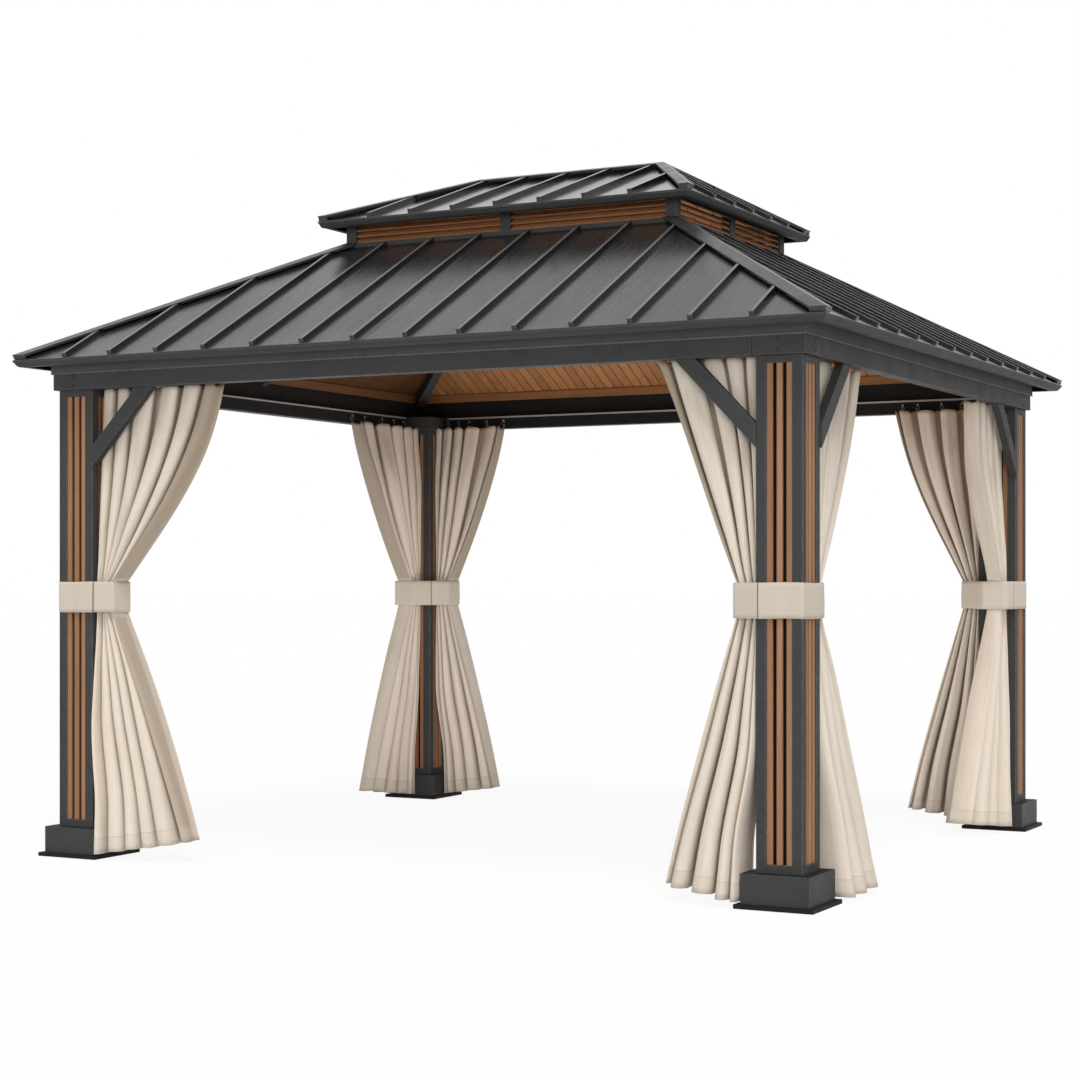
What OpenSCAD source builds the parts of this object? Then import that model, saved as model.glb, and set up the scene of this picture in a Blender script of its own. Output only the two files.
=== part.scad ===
// Rectangular metal garden gazebo with a two-tier hipped standing-seam roof,
// a louvred cupola, four slatted posts and eight tied-back curtains.
// Millimetres, +Z up, the ground at z = 0, the long side along X, the front at -Y.

/* [Overall size] */
// Distance over the outer faces of the posts along the long side
post_span_x = 3400; // [2800:10:4600]
// Distance over the outer faces of the posts along the short side
post_span_y = 3010; // [2400:10:4200]
// Clear height from the ground to the underside of the beams
clear_height = 2000; // [1800:10:2400]

/* [Posts] */
// Width of the square posts
post_width = 180; // [150:2:220]
// Width of the plain stile at each edge of a post face
stile_width = 41; // [34:1:50]
// Gap between neighbouring slats
slat_gap = 16; // [10:1:20]
// Depth of the pocket that holds the slats
slat_recess = 18; // [12:1:24]
// Depth of a slat
slat_depth = 14; // [8:1:17]
// Plain height of the post above the slats
top_rail = 29; // [20:1:60]
// Plain height of the post between the base cover and the slats
bottom_rail = 32; // [20:1:60]

/* [Feet] */
// Side of the square foot plate
foot_plate_size = 306; // [290:2:360]
// Thickness of the foot plate
foot_plate_thickness = 16; // [8:1:20]
// Side of the square base cover
base_cover_size = 266; // [262:2:284]
// Height of the top of the base cover above the ground
base_cover_top = 127; // [90:1:180]
// Wall thickness of the base cover
base_cover_wall = 3; // [2:0.5:6]
// Diameter of the anchor holes
anchor_hole_d = 12; // [9:0.5:14]

/* [Beams] */
// Height of the beams
beam_height = 68; // [56:1:90]
// Width of the beams in plan
beam_width = 56; // [44:1:70]
// Reach of the beam face beyond the post face
beam_overhang = 18; // [8:1:26]
// Open joint between beam lengths and corner blocks
beam_joint = 2; // [1:0.5:4]
// Reach of a knee brace along the beam
brace_reach = 321; // [240:1:420]
// Drop of a knee brace down the post
brace_drop = 331; // [240:1:420]
// Depth of a knee brace square to its length
brace_depth = 60; // [40:1:80]
// Thickness of a knee brace
brace_thickness = 36; // [24:1:40]
// Height of the curtain track
track_height = 20; // [12:1:26]
// Width of the curtain track
track_width = 16; // [10:1:24]

/* [Frieze and eaves] */
// Thickness of the frieze boards above the beams
frieze_thickness = 36; // [24:1:44]
// Reach of the frieze face beyond the beam face
frieze_proud = 4; // [2:1:8]
// Reach of the lip along the foot of the frieze
frieze_lip = 5; // [3:1:8]
// Height of the lip along the foot of the frieze
frieze_lip_height = 7; // [4:1:12]
// Reach of the eave beyond the post face
eave_overhang = 140; // [120:1:220]
// Height of the eave edge above the underside of the beams
eave_rise = 122; // [110:1:160]
// Height of the eave trim
trim_height = 25; // [18:1:36]

/* [Lower roof] */
// Pitch of the lower roof in degrees
lower_pitch = 27.9; // [22:0.1:33]
// Plan distance from the eave to the cupola
cupola_inset = 1032; // [860:1:1120]
// Thickness of the roof sheet
sheet_t = 3; // [2:0.5:5]
// Width of a standing seam
seam_width = 14; // [10:1:20]
// Vertical rise of a standing seam
seam_rise = 20; // [12:1:26]
// Spacing of the seams on the lower roof
seam_pitch = 240; // [180:5:320]
// Plain run of sheet between the last seam and the end of the eave
seam_end = 200; // [120:5:260]
// Width of each wing of a lower hip cap
cap_width = 47; // [40:1:90]
// Drop of the turned-down edge of a cap
cap_edge_drop = 11; // [8:1:16]
// Thickness of the ceiling boards
ceiling_t = 8; // [5:1:14]
// Width of the rafters
rafter_width = 45; // [32:1:60]
// Depth of the rafters
rafter_depth = 52; // [40:1:60]

/* [Cupola and upper roof] */
// Width of the cupola posts and curb
cupola_bar = 48; // [36:1:60]
// Height of the curb that shows above the lower roof
curb_show = 18; // [10:1:40]
// Height of the louvre zone
louvre_height = 108; // [84:1:140]
// Number of louvre slats in a bay
louvre_count = 4; // [3:1:5]
// Depth of a louvre slat
louvre_depth = 42; // [30:1:46]
// Thickness of a louvre slat
louvre_t = 7; // [5:1:9]
// Tilt of the louvre slats in degrees, their outer edges being the lower ones
louvre_tilt = 38; // [30:1:44]
// Reach of the upper eave beyond the cupola
upper_overhang = 93; // [70:1:140]
// Rise of the upper roof from its eave to its ridge
upper_rise = 242; // [200:1:300]
// Plan distance from the upper eave to the end of the ridge on the short sides
ridge_setback = 431; // [300:1:520]
// Height of the upper eave above the top of the curb
upper_eave_lift = 92; // [80:1:104]
// Thickness of the upper ceiling boards
upper_ceiling_t = 6; // [4:1:8]
// Spacing of the seams on the upper roof
upper_seam_pitch = 212; // [160:4:260]
// Width of each wing of the upper hip caps and of the ridge cap
upper_cap_width = 36; // [32:1:60]

/* [Curtains] */
// Height of the curtain hem above the ground
hem_height = 20; // [20:1:60]
// Reach of a curtain along its track at the top, front left to back right, long sides then short sides
curtain_top_reach = [600, 420, 400, 470, 500, 620, 590, 450]; // [300:10:700]
// Reach of a curtain at the hem, in the same order
curtain_hem_reach = [490, 360, 340, 420, 400, 450, 420, 400]; // [250:10:600]
// Bow of a curtain's free edge above its tie, from straight to full, in the same order
curtain_bow = [0.7, 0, 0.5, 0.5, 0.5, 0.6, 0.5, 0.5]; // [0:0.1:1]
// Reach of a gathered curtain at its tie
curtain_waist = 92; // [70:1:130]
// Depth of a hanging curtain at the top
curtain_depth_top = 74; // [50:1:90]
// Depth of a gathered curtain at its tie
curtain_depth_waist = 112; // [80:1:140]
// Depth of a curtain at the hem
curtain_depth_hem = 220; // [80:1:240]
// Swing of a curtain's middle toward the outside at the hem
curtain_hem_swing = 45; // [0:1:60]
// Rise of a curtain's hem from the post to its free edge
curtain_hem_rise = 50; // [0:1:80]
// Bow of a curtain's free edge below its tie, from straight to full
hem_bow = 0.2; // [0:0.1:1]
// Height of the middle of the tie bands above the ground
tie_height = 1112; // [800:1:1300]
// Width of a tie band
tie_width = 131; // [80:1:180]
// Thickness of a tie band
tie_t = 4; // [2:0.5:6]

/* [Hidden] */
$fn = 48;
metal = [0.27, 0.27, 0.28];
roof_grey = [0.40, 0.41, 0.43];
wood = [0.58, 0.40, 0.26];
track_grey = [0.66, 0.67, 0.68];
cloth = [0.85, 0.80, 0.72];

half_x = post_span_x / 2;
half_y = post_span_y / 2;
slat_width = (post_width - 2 * stile_width - 2 * slat_gap) / 3;
slat_z0 = base_cover_top + bottom_rail;
slat_z1 = clear_height - top_rail;
anchor_pitch = (post_width + base_cover_size - 2 * base_cover_wall) / 2;
tie_low = tie_height - tie_width / 2;
tie_top = tie_height + tie_width / 2;

beam_top = clear_height + beam_height;
beam_out_x = half_x + beam_overhang;
beam_out_y = half_y + beam_overhang;
block = beam_overhang + post_width + 8;
frieze_face = beam_overhang + frieze_proud;

eave_x = half_x + eave_overhang;
eave_y = half_y + eave_overhang;
eave_z = clear_height + eave_rise;
lower_len = cupola_inset / cos(lower_pitch);
cup_x = eave_x - cupola_inset;
cup_y = eave_y - cupola_inset;
frieze_in = eave_overhang - frieze_face + frieze_thickness;
ceiling_drop = ceiling_t / cos(lower_pitch);
rafter_drop = rafter_depth / cos(lower_pitch);

roof_at_cup = lower_z(cupola_inset) + sheet_t / cos(lower_pitch);
curb_top = roof_at_cup + curb_show;
curb_bottom = lower_z(cupola_inset) - ceiling_drop - rafter_drop - 6;
head_bottom = curb_top + louvre_height;
up_x = cup_x + upper_overhang;
up_y = cup_y + upper_overhang;
up_z = curb_top + upper_eave_lift;
ridge_half = up_x - ridge_setback;
pitch_f = atan(upper_rise / up_y);
pitch_s = atan(upper_rise / ridge_setback);
len_f = up_y / cos(pitch_f);
len_s = ridge_setback / cos(pitch_s);

// Underside of the lower roof sheet at a plan distance in from the eave
function lower_z(d) = eave_z + d * tan(lower_pitch);
// How far the hip of a slope draws in for each unit up the slope
function hip_slant(h0, h1, l) = (h0 - h1) / l;
// Run along the eave that matches a width square to the hip
function along(w, h0, h1, l) = w * sqrt(1 + pow(hip_slant(h0, h1, l), 2));
function smooth(s) = s * s * (3 - 2 * s);

// Quarter copies about both middle planes
module four_corners() {
    for (mx = [0, 1], my = [0, 1]) mirror([mx, 0, 0]) mirror([0, my, 0]) children();
}

// Axis of the post at a corner, sx and sy being -1 or 1
module at_post(sx, sy) {
    translate([sx * (half_x - post_width / 2), sy * (half_y - post_width / 2), 0]) children();
}

// Plane of a roof slope: x along the eave, y up the slope, z out of the slope
module on_slope(side, out, z, pitch) {
    rotate([0, 0, 90 * side]) translate([0, -out, z]) rotate([pitch, 0, 0]) children();
}

// Vertical section drawn as [distance back from the centre, height], run along one side
module along_side(side, half_len) {
    rotate([0, 0, 90 * side]) rotate([90, 0, 90]) translate([0, 0, -half_len])
        linear_extrude(2 * half_len) children();
}

/* Feet and posts */

module foot_plate() {
    difference() {
        translate([-foot_plate_size / 2, -foot_plate_size / 2, 0])
            cube([foot_plate_size, foot_plate_size, foot_plate_thickness]);
        for (ix = [-1, 1], iy = [-1, 1])
            translate([ix * anchor_pitch / 2, iy * anchor_pitch / 2, -1])
                cylinder(d = anchor_hole_d, h = foot_plate_thickness + 2);
    }
}

module foot_plates() {
    color(metal) for (sx = [-1, 1], sy = [-1, 1]) at_post(sx, sy) foot_plate();
}

module base_cover() {
    s = base_cover_size;
    w = base_cover_wall;
    h = base_cover_top - foot_plate_thickness;
    p = post_width + 0.6;
    translate([0, 0, foot_plate_thickness]) difference() {
        translate([-s / 2, -s / 2, 0]) cube([s, s, h]);
        translate([-s / 2 + w, -s / 2 + w, -1]) cube([s - 2 * w, s - 2 * w, h - w + 1]);
        translate([-p / 2, -p / 2, 0]) cube([p, p, h + 1]);
    }
}

module base_covers() {
    color(metal) for (sx = [-1, 1], sy = [-1, 1]) at_post(sx, sy) base_cover();
}

module post() {
    core = post_width - 2 * slat_recess - 6;
    pocket = post_width - 2 * stile_width;
    difference() {
        translate([-post_width / 2, -post_width / 2, foot_plate_thickness])
            cube([post_width, post_width, clear_height - foot_plate_thickness]);
        translate([-core / 2, -core / 2, 0]) cube([core, core, clear_height + 1]);
        for (a = [0:90:270]) rotate([0, 0, a])
            translate([-pocket / 2, -post_width / 2 - 1, slat_z0])
                cube([pocket, slat_recess + 1, slat_z1 - slat_z0]);
    }
}

module post_front_left() { color(metal) at_post(-1, -1) post(); }
module post_front_right() { color(metal) at_post(1, -1) post(); }
module post_back_left() { color(metal) at_post(-1, 1) post(); }
module post_back_right() { color(metal) at_post(1, 1) post(); }

module post_slats() {
    color(wood) for (sx = [-1, 1], sy = [-1, 1]) at_post(sx, sy)
        for (a = [0:90:270]) rotate([0, 0, a]) for (i = [-1, 0, 1])
            translate([i * (slat_width + slat_gap) - slat_width / 2, -post_width / 2 + slat_recess - slat_depth, slat_z0])
                cube([slat_width, slat_depth, slat_z1 - slat_z0]);
}

/* Beams, braces, tracks and frieze */

module corner_blocks() {
    color(metal) four_corners()
        translate([-beam_out_x, -beam_out_y, clear_height]) cube([block, block, beam_height]);
}

module beam(side, out, half_len, halves) {
    free = half_len - block - beam_joint;
    color(metal) rotate([0, 0, 90 * side]) translate([0, -out, clear_height])
        if (halves) {
            for (s = [-1, 1])
                translate([s > 0 ? beam_joint / 2 : -free, 0, 0])
                    cube([free - beam_joint / 2, beam_width, beam_height]);
        } else {
            translate([-free, 0, 0]) cube([2 * free, beam_width, beam_height]);
        }
}

module front_beam() { beam(0, beam_out_y, beam_out_x, true); }
module right_beam() { beam(1, beam_out_x, beam_out_y, false); }
module back_beam() { beam(2, beam_out_y, beam_out_x, true); }
module left_beam() { beam(3, beam_out_x, beam_out_y, false); }

module brace(side, out, half_len) {
    f = half_len - post_width;
    slant = sqrt(pow(brace_reach, 2) + pow(brace_drop, 2));
    in_x = brace_reach - brace_depth * slant / brace_drop;
    in_z = brace_drop - brace_depth * slant / brace_reach;
    y = -out - beam_overhang + beam_width / 2;
    rotate([0, 0, 90 * side]) for (s = [0, 1]) mirror([s, 0, 0])
        translate([f, y + brace_thickness / 2, clear_height]) rotate([90, 0, 0])
            linear_extrude(brace_thickness)
                polygon([[0, -brace_drop], [-brace_reach, 0], [-in_x, 0], [0, -in_z]]);
}

module knee_braces() {
    color(metal) for (side = [0:3])
        brace(side, side % 2 == 0 ? half_y : half_x, side % 2 == 0 ? half_x : half_y);
}

module curtain_track(side, out, half_len) {
    run = half_len - block - 30;
    rotate([0, 0, 90 * side])
        translate([-run, -out + beam_width, beam_top - track_height - 2])
            cube([2 * run, track_width, track_height]);
}

module curtain_tracks() {
    color(track_grey) for (side = [0:3])
        curtain_track(side, side % 2 == 0 ? beam_out_y : beam_out_x, side % 2 == 0 ? beam_out_x : beam_out_y);
}

module frieze(side, out, half_len, halves) {
    f = out + frieze_face;
    b = f - frieze_thickness;
    lip = f + frieze_lip;
    over = half_len + frieze_face + frieze_lip;
    rise = lower_z(frieze_in) - beam_top;
    difference() {
        intersection() {
            along_side(side, over)
                polygon([[-b, beam_top], [-lip, beam_top], [-lip, beam_top + frieze_lip_height], [-f, beam_top + frieze_lip_height],
                         [-f, lower_z(eave_overhang - frieze_face)], [-b, lower_z(frieze_in)]]);
            mitre(side, lip, over, frieze_thickness + frieze_lip, 1, beam_top, rise);
        }
        if (halves) rotate([0, 0, 90 * side]) translate([-beam_joint / 2, -lip - 1, beam_top - 1])
            cube([beam_joint, frieze_thickness + frieze_lip + 2, rise + 2]);
    }
}

// Upright block with a plan outline whose ends follow the hips
module mitre(side, out, half_len, depth, slant, z, h) {
    g = 0.4;
    rotate([0, 0, 90 * side]) translate([0, -out, z]) linear_extrude(h)
        polygon([[-half_len + g, 0], [half_len - g, 0], [half_len - g - depth * slant, depth], [-half_len + g + depth * slant, depth]]);
}

module friezes() {
    color(metal) for (side = [0:3])
        frieze(side, side % 2 == 0 ? half_y : half_x, side % 2 == 0 ? half_x : half_y, side % 2 == 0);
}

/* Eaves */

// Formed strip under the edge of a roof sheet, as [inward, up] from the edge
module trim_profile(pitch) {
    t = tan(pitch);
    h = trim_height;
    polygon([[1, t], [1, -6], [5, -8], [8, -0.55 * h], [13, -0.83 * h], [20, -h], [46, -h], [46, 3 - h],
             [21, 3 - h], [15.5, 4 - 0.83 * h], [11, 2 - 0.55 * h], [9, -4], [9, 9 * t - 3.5], [34, 34 * t - 3.5], [34, 34 * t]]);
}

module eave_trim(side, out, half_len, z, pitch, slant) {
    intersection() {
        along_side(side, half_len + 10) translate([-out, z]) trim_profile(pitch);
        mitre(side, out, half_len, 60, slant, z - trim_height - 10, 3 * trim_height + 10);
    }
}

module eave_trims() {
    color(metal) for (side = [0:3])
        eave_trim(side, side % 2 == 0 ? eave_y : eave_x, side % 2 == 0 ? eave_x : eave_y, eave_z, lower_pitch, 1);
}

module upper_eave_trims() {
    color(metal) for (side = [0:3])
        if (side % 2 == 0) eave_trim(side, up_y, up_x, up_z, pitch_f, ridge_setback / up_y);
        else eave_trim(side, up_x, up_y, up_z, pitch_s, up_y / ridge_setback);
}

/* Roof slopes */

// One slope of sheet with its standing seams, h0 and h1 being half of its lower and upper edges
module slope(h0, h1, l, pitch, step, offset_step, upper) {
    k = hip_slant(h0, h1, l);
    clear = along(24, h0, h1, l);
    top = upper ? l - 22 : l;
    n = floor((h0 - seam_end) / step);
    linear_extrude(sheet_t) polygon([[-h0, 0], [h0, 0], [h1, l], [-h1, l]]);
    for (i = [-n - 1:n]) {
        x = (i + offset_step) * step;
        if (abs(x) < h0 - seam_end)
            translate([0, 0, sheet_t - 0.5]) linear_extrude(seam_rise * cos(pitch) + 0.5)
                polygon([[x - seam_width / 2, 5], [x + seam_width / 2, 5],
                         [x + seam_width / 2, min(top, (h0 - clear - abs(x + seam_width / 2)) / k)],
                         [x - seam_width / 2, min(top, (h0 - clear - abs(x - seam_width / 2)) / k)]]);
    }
}

module lower_slope(side) {
    h0 = side % 2 == 0 ? eave_x : eave_y;
    color(roof_grey) on_slope(side, side % 2 == 0 ? eave_y : eave_x, eave_z, lower_pitch)
        slope(h0, h0 - cupola_inset, lower_len, lower_pitch, seam_pitch, 0.5, false);
}

module front_roof() { lower_slope(0); }
module right_roof() { lower_slope(1); }
module back_roof() { lower_slope(2); }
module left_roof() { lower_slope(3); }

module upper_slope(side) {
    color(roof_grey)
        if (side % 2 == 0) on_slope(side, up_y, up_z, pitch_f) slope(up_x, ridge_half, len_f, pitch_f, upper_seam_pitch, 0, true);
        else on_slope(side, up_x, up_z, pitch_s) slope(up_y, 0, len_s, pitch_s, upper_seam_pitch, 0, true);
}

module upper_front_roof() { upper_slope(0); }
module upper_right_roof() { upper_slope(1); }
module upper_back_roof() { upper_slope(2); }
module upper_left_roof() { upper_slope(3); }

/* Hip and ridge caps */

// Turned-down edge along the outer line of a hip cap, notched where the seams pass under it
module cap_edge(h0, h1, l, pitch, width, y_end, step, offset_step) {
    k = hip_slant(h0, h1, l);
    n = sheet_t + seam_rise * cos(pitch);
    sh = n * tan(pitch);
    w = along(width - 0.4, h0, h1, l);
    t = along(sheet_t, h0, h1, l) / k;
    notch = seam_width / 2 + 10;
    x0 = h0 - w - (y_end - sh) * k;
    xs = [for (i = [0:ceil(h0 / step)]) let (x = (i + offset_step) * step) if (x < h0 - seam_end && x + notch > x0) x];
    for (j = [-1:len(xs) - 1]) {
        a = j < 0 ? x0 : max(x0, xs[j] + notch);
        b = j == len(xs) - 1 ? h0 - w : xs[j + 1] - notch;
        ya = sh + (h0 - w - a) / k;
        yb = sh + (h0 - w - b) / k;
        if (b - a > 4) translate([0, 0, n + sheet_t - cap_edge_drop]) linear_extrude(cap_edge_drop - sheet_t + 0.5)
            polygon([[a, ya], [b, yb], [b, yb + t], [a, ya + t]]);
    }
}

// One wing of a hip cap on the right-hand hip of a slope, with its end block at the eave
module hip_wing(h0, h1, l, pitch, top_style, width, step, offset_step) {
    k = hip_slant(h0, h1, l);
    n = sheet_t + seam_rise * cos(pitch);
    sh = n * tan(pitch);
    w = along(width, h0, h1, l);
    e = 1.2;
    m = l + sh - width;
    cap_edge(h0, h1, l, pitch, width,
        top_style == "wall" ? l - 6 : top_style == "ridge" ? m - 8 : l + sh - (w + 1) / k, step, offset_step);
    top = top_style == "wall" ? [[h1 + e, l + sh - 0.2], [h1 - w, l + sh - 0.2]]
        : top_style == "ridge" ? [[h1 + e, l + sh - 0.5], [h0 - (m - sh) * k - w + 0.5, m - 0.5]]
        : [[0.4, l + sh - 0.4 / k + e / k], [0.4, l + sh - (w + 0.4) / k]];
    translate([0, 0, n]) linear_extrude(sheet_t)
        polygon([[h0 - w, sh], [h0 + e, sh], top[0], top[1]]);
    translate([h0 - w - 1.5, sh, sheet_t]) cube([w - 1.5, 11, n - sheet_t + 0.5]);
}

module lower_hip_caps() {
    color(roof_grey) four_corners() {
        on_slope(0, eave_y, eave_z, lower_pitch) mirror([1, 0, 0])
            hip_wing(eave_x, cup_x, lower_len, lower_pitch, "wall", cap_width, seam_pitch, 0.5);
        on_slope(3, eave_x, eave_z, lower_pitch)
            hip_wing(eave_y, cup_y, lower_len, lower_pitch, "wall", cap_width, seam_pitch, 0.5);
    }
}

module upper_hip_caps() {
    color(roof_grey) four_corners() {
        on_slope(0, up_y, up_z, pitch_f) mirror([1, 0, 0])
            hip_wing(up_x, ridge_half, len_f, pitch_f, "ridge", upper_cap_width, upper_seam_pitch, 0);
        on_slope(3, up_x, up_z, pitch_s)
            hip_wing(up_y, 0, len_s, pitch_s, "point", upper_cap_width, upper_seam_pitch, 0);
    }
}

module ridge_cap() {
    k = hip_slant(up_x, ridge_half, len_f);
    n = sheet_t + seam_rise * cos(pitch_f);
    sh = n * tan(pitch_f);
    w = along(upper_cap_width, up_x, ridge_half, len_f);
    m = len_f + sh - upper_cap_width;
    xm = up_x - (m - sh) * k - w - 0.5;
    notch = seam_width / 2 + 10;
    last = floor(xm / upper_seam_pitch);
    color(roof_grey) for (side = [0, 2]) on_slope(side, up_y, up_z, pitch_f) {
        translate([0, 0, n]) linear_extrude(sheet_t)
            polygon([[-ridge_half + 1, len_f + sh + 1], [-xm, m], [xm, m], [ridge_half - 1, len_f + sh + 1]]);
        for (i = [-last - 1:last]) {
            a = max(-xm + 1, i * upper_seam_pitch + notch);
            b = min(xm - 1, (i + 1) * upper_seam_pitch - notch);
            if (b - a > 4) translate([a, m, n + sheet_t - cap_edge_drop]) cube([b - a, sheet_t, cap_edge_drop - sheet_t + 0.5]);
        }
    }
}

/* Ceilings and rafters */

module ceilings() {
    lo = frieze_in / cos(lower_pitch) + 0.5;
    hi = (cupola_inset - ceiling_t * sin(lower_pitch)) / cos(lower_pitch) - 0.5;
    color(wood) for (side = [0:3]) {
        h0 = side % 2 == 0 ? eave_x : eave_y;
        k = hip_slant(h0, h0 - cupola_inset, lower_len);
        c = along(10, h0, h0 - cupola_inset, lower_len);
        on_slope(side, side % 2 == 0 ? eave_y : eave_x, eave_z, lower_pitch)
            translate([0, 0, -ceiling_t]) linear_extrude(ceiling_t)
                polygon([[-h0 + lo * k + c, lo], [h0 - lo * k - c, lo], [h0 - hi * k - c, hi], [-h0 + hi * k + c, hi]]);
    }
}

module upper_ceilings() {
    t = upper_ceiling_t;
    color(wood) for (side = [0:3]) {
        even = side % 2 == 0;
        p = even ? pitch_f : pitch_s;
        h0 = even ? up_x : up_y;
        l = even ? len_f : len_s;
        k = hip_slant(h0, even ? ridge_half : 0, l);
        c = along(14, h0, even ? ridge_half : 0, l);
        lo = (upper_overhang + cupola_bar + 2) / cos(p);
        hi = l - t * tan(p) - 4;
        w = min(h0 - lo * k - c, (even ? cup_x : cup_y) - cupola_bar - 2);
        s = (h0 - c - w) / k;
        on_slope(side, even ? up_y : up_x, up_z, p) translate([0, 0, -t]) linear_extrude(t)
            polygon(even ? [[-w, lo], [w, lo], [w, s], [h0 - hi * k - c, hi], [-h0 + hi * k + c, hi], [-w, s]]
                         : [[-w, lo], [w, lo], [w, s], [0, (h0 - c) / k], [-w, s]]);
    }
}

// Bar that hangs below the ceiling, between two plan distances along its own line
module rafter(d0, d1, z0, z1) {
    rotate([90, 0, 90]) translate([0, 0, -rafter_width / 2]) linear_extrude(rafter_width)
        polygon([[d0, z0], [d1, z1], [d1, z1 - rafter_drop], [d0, z0 - rafter_drop]]);
}

module rafters() {
    lo = frieze_in + 0.3;
    hi = cupola_inset - 0.3;
    low = ceiling_drop + 0.2;
    back = rafter_width / 2;
    drop = low + back / sqrt(2) * tan(lower_pitch);
    hip_lo = frieze_in + back / sqrt(2) + 0.4;
    color(metal) {
        for (side = [0:3]) rotate([0, 0, 90 * side])
            translate([0, side % 2 == 0 ? -eave_y : -eave_x, 0])
                rafter(lo, hi, lower_z(lo) - low, lower_z(hi) - low);
        four_corners() translate([-eave_x, -eave_y, 0]) rotate([0, 0, -45])
            rafter(hip_lo * sqrt(2), hi * sqrt(2), lower_z(hip_lo) - drop, lower_z(hi) - drop);
    }
}

/* Cupola */

module curb_bar(side, out, half_len, z, h) {
    rotate([0, 0, 90 * side]) translate([-half_len, -out, z]) cube([2 * half_len, cupola_bar, h]);
}

module cupola_curb() {
    h = curb_top - curb_bottom;
    color(metal) for (side = [0:3])
        if (side % 2 == 0) curb_bar(side, cup_y, cup_x, curb_bottom, h);
        else curb_bar(side, cup_x, cup_y - cupola_bar - 0.4, curb_bottom, h);
}

module cupola_posts() {
    b = cupola_bar;
    color(metal) translate([0, 0, curb_top]) {
        for (sx = [-1, 1], sy = [-1, 1])
            translate([sx * (cup_x - b / 2) - b / 2, sy * (cup_y - b / 2) - b / 2, 0]) cube([b, b, louvre_height]);
        for (sy = [-1, 1]) translate([-b / 2, sy * (cup_y - b / 2) - b / 2, 0]) cube([b, b, louvre_height]);
        for (sx = [-1, 1]) translate([sx * (cup_x - b / 2) - b / 2, -b / 2, 0]) cube([b, b, louvre_height]);
    }
}

module head_bar(side, out, half_len, top_out, top_in) {
    along_side(side, half_len)
        polygon([[-out, head_bottom], [-out, top_out], [-out + cupola_bar, top_in], [-out + cupola_bar, head_bottom]]);
}

module cupola_head() {
    inner = upper_overhang + cupola_bar;
    flat = up_z + min(inner * tan(pitch_f), upper_overhang * tan(pitch_s)) - 0.5;
    color(metal) for (side = [0:3])
        if (side % 2 == 0) head_bar(side, cup_y, cup_x, up_z + upper_overhang * tan(pitch_f), up_z + inner * tan(pitch_f));
        else head_bar(side, cup_x, cup_y - cupola_bar - 0.4, flat, flat);
}

module louvre_slats() {
    tall = louvre_depth * sin(louvre_tilt) + louvre_t * cos(louvre_tilt);
    step = (louvre_height - 1 - tall) / (louvre_count - 1);
    color(wood) for (side = [0:3]) {
        out = side % 2 == 0 ? cup_y : cup_x;
        half = side % 2 == 0 ? cup_x : cup_y;
        bay = half - 1.5 * cupola_bar;
        rotate([0, 0, 90 * side]) for (s = [-1, 1], i = [0:louvre_count - 1])
            translate([s * (bay / 2 + cupola_bar / 2), -out + cupola_bar / 2, curb_top + 0.5 + tall / 2 + i * step])
                rotate([louvre_tilt, 0, 0]) cube([bay - 0.4, louvre_depth, louvre_t], center = true);
    }
}

/* Curtains and tie bands */

// Share of the way from the tie down to the hem, 0 above the tie
function below_tie(z) = max(0, (tie_low - z) / (tie_low - hem_height));

// Reach of a curtain's free edge from the post at a height
function curtain_reach(z, top, hem, bow, ztop) =
    let (up = max(0, (z - tie_top) / (ztop - tie_top)))
    curtain_waist + (top - curtain_waist) * ((1 - bow) * up + bow * sin(90 * up))
        + (hem - curtain_waist) * ((1 - hem_bow) * below_tie(z) + hem_bow * sin(90 * below_tie(z)));

function curtain_depth(z, ztop) =
    z > tie_height
        ? curtain_depth_waist + (curtain_depth_top - curtain_depth_waist) * smooth(min(1, 2 * (z - tie_height) / (ztop - tie_height)))
        : curtain_depth_waist + (curtain_depth_hem - curtain_depth_waist) * smooth(below_tie(z));

// Depth of a curtain's middle behind the inner face of the beam
function curtain_mid(z) = curtain_depth_top / 2 + 2 - curtain_hem_swing * smooth(below_tie(z));

// Reach of a curtain's post edge, which swings out to pass the base cover
function curtain_edge(z) =
    ((base_cover_size - post_width) / 2 + 2) * smooth(min(1, max(0, (tie_low - z) / (tie_low - base_cover_top - 60))));

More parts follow.
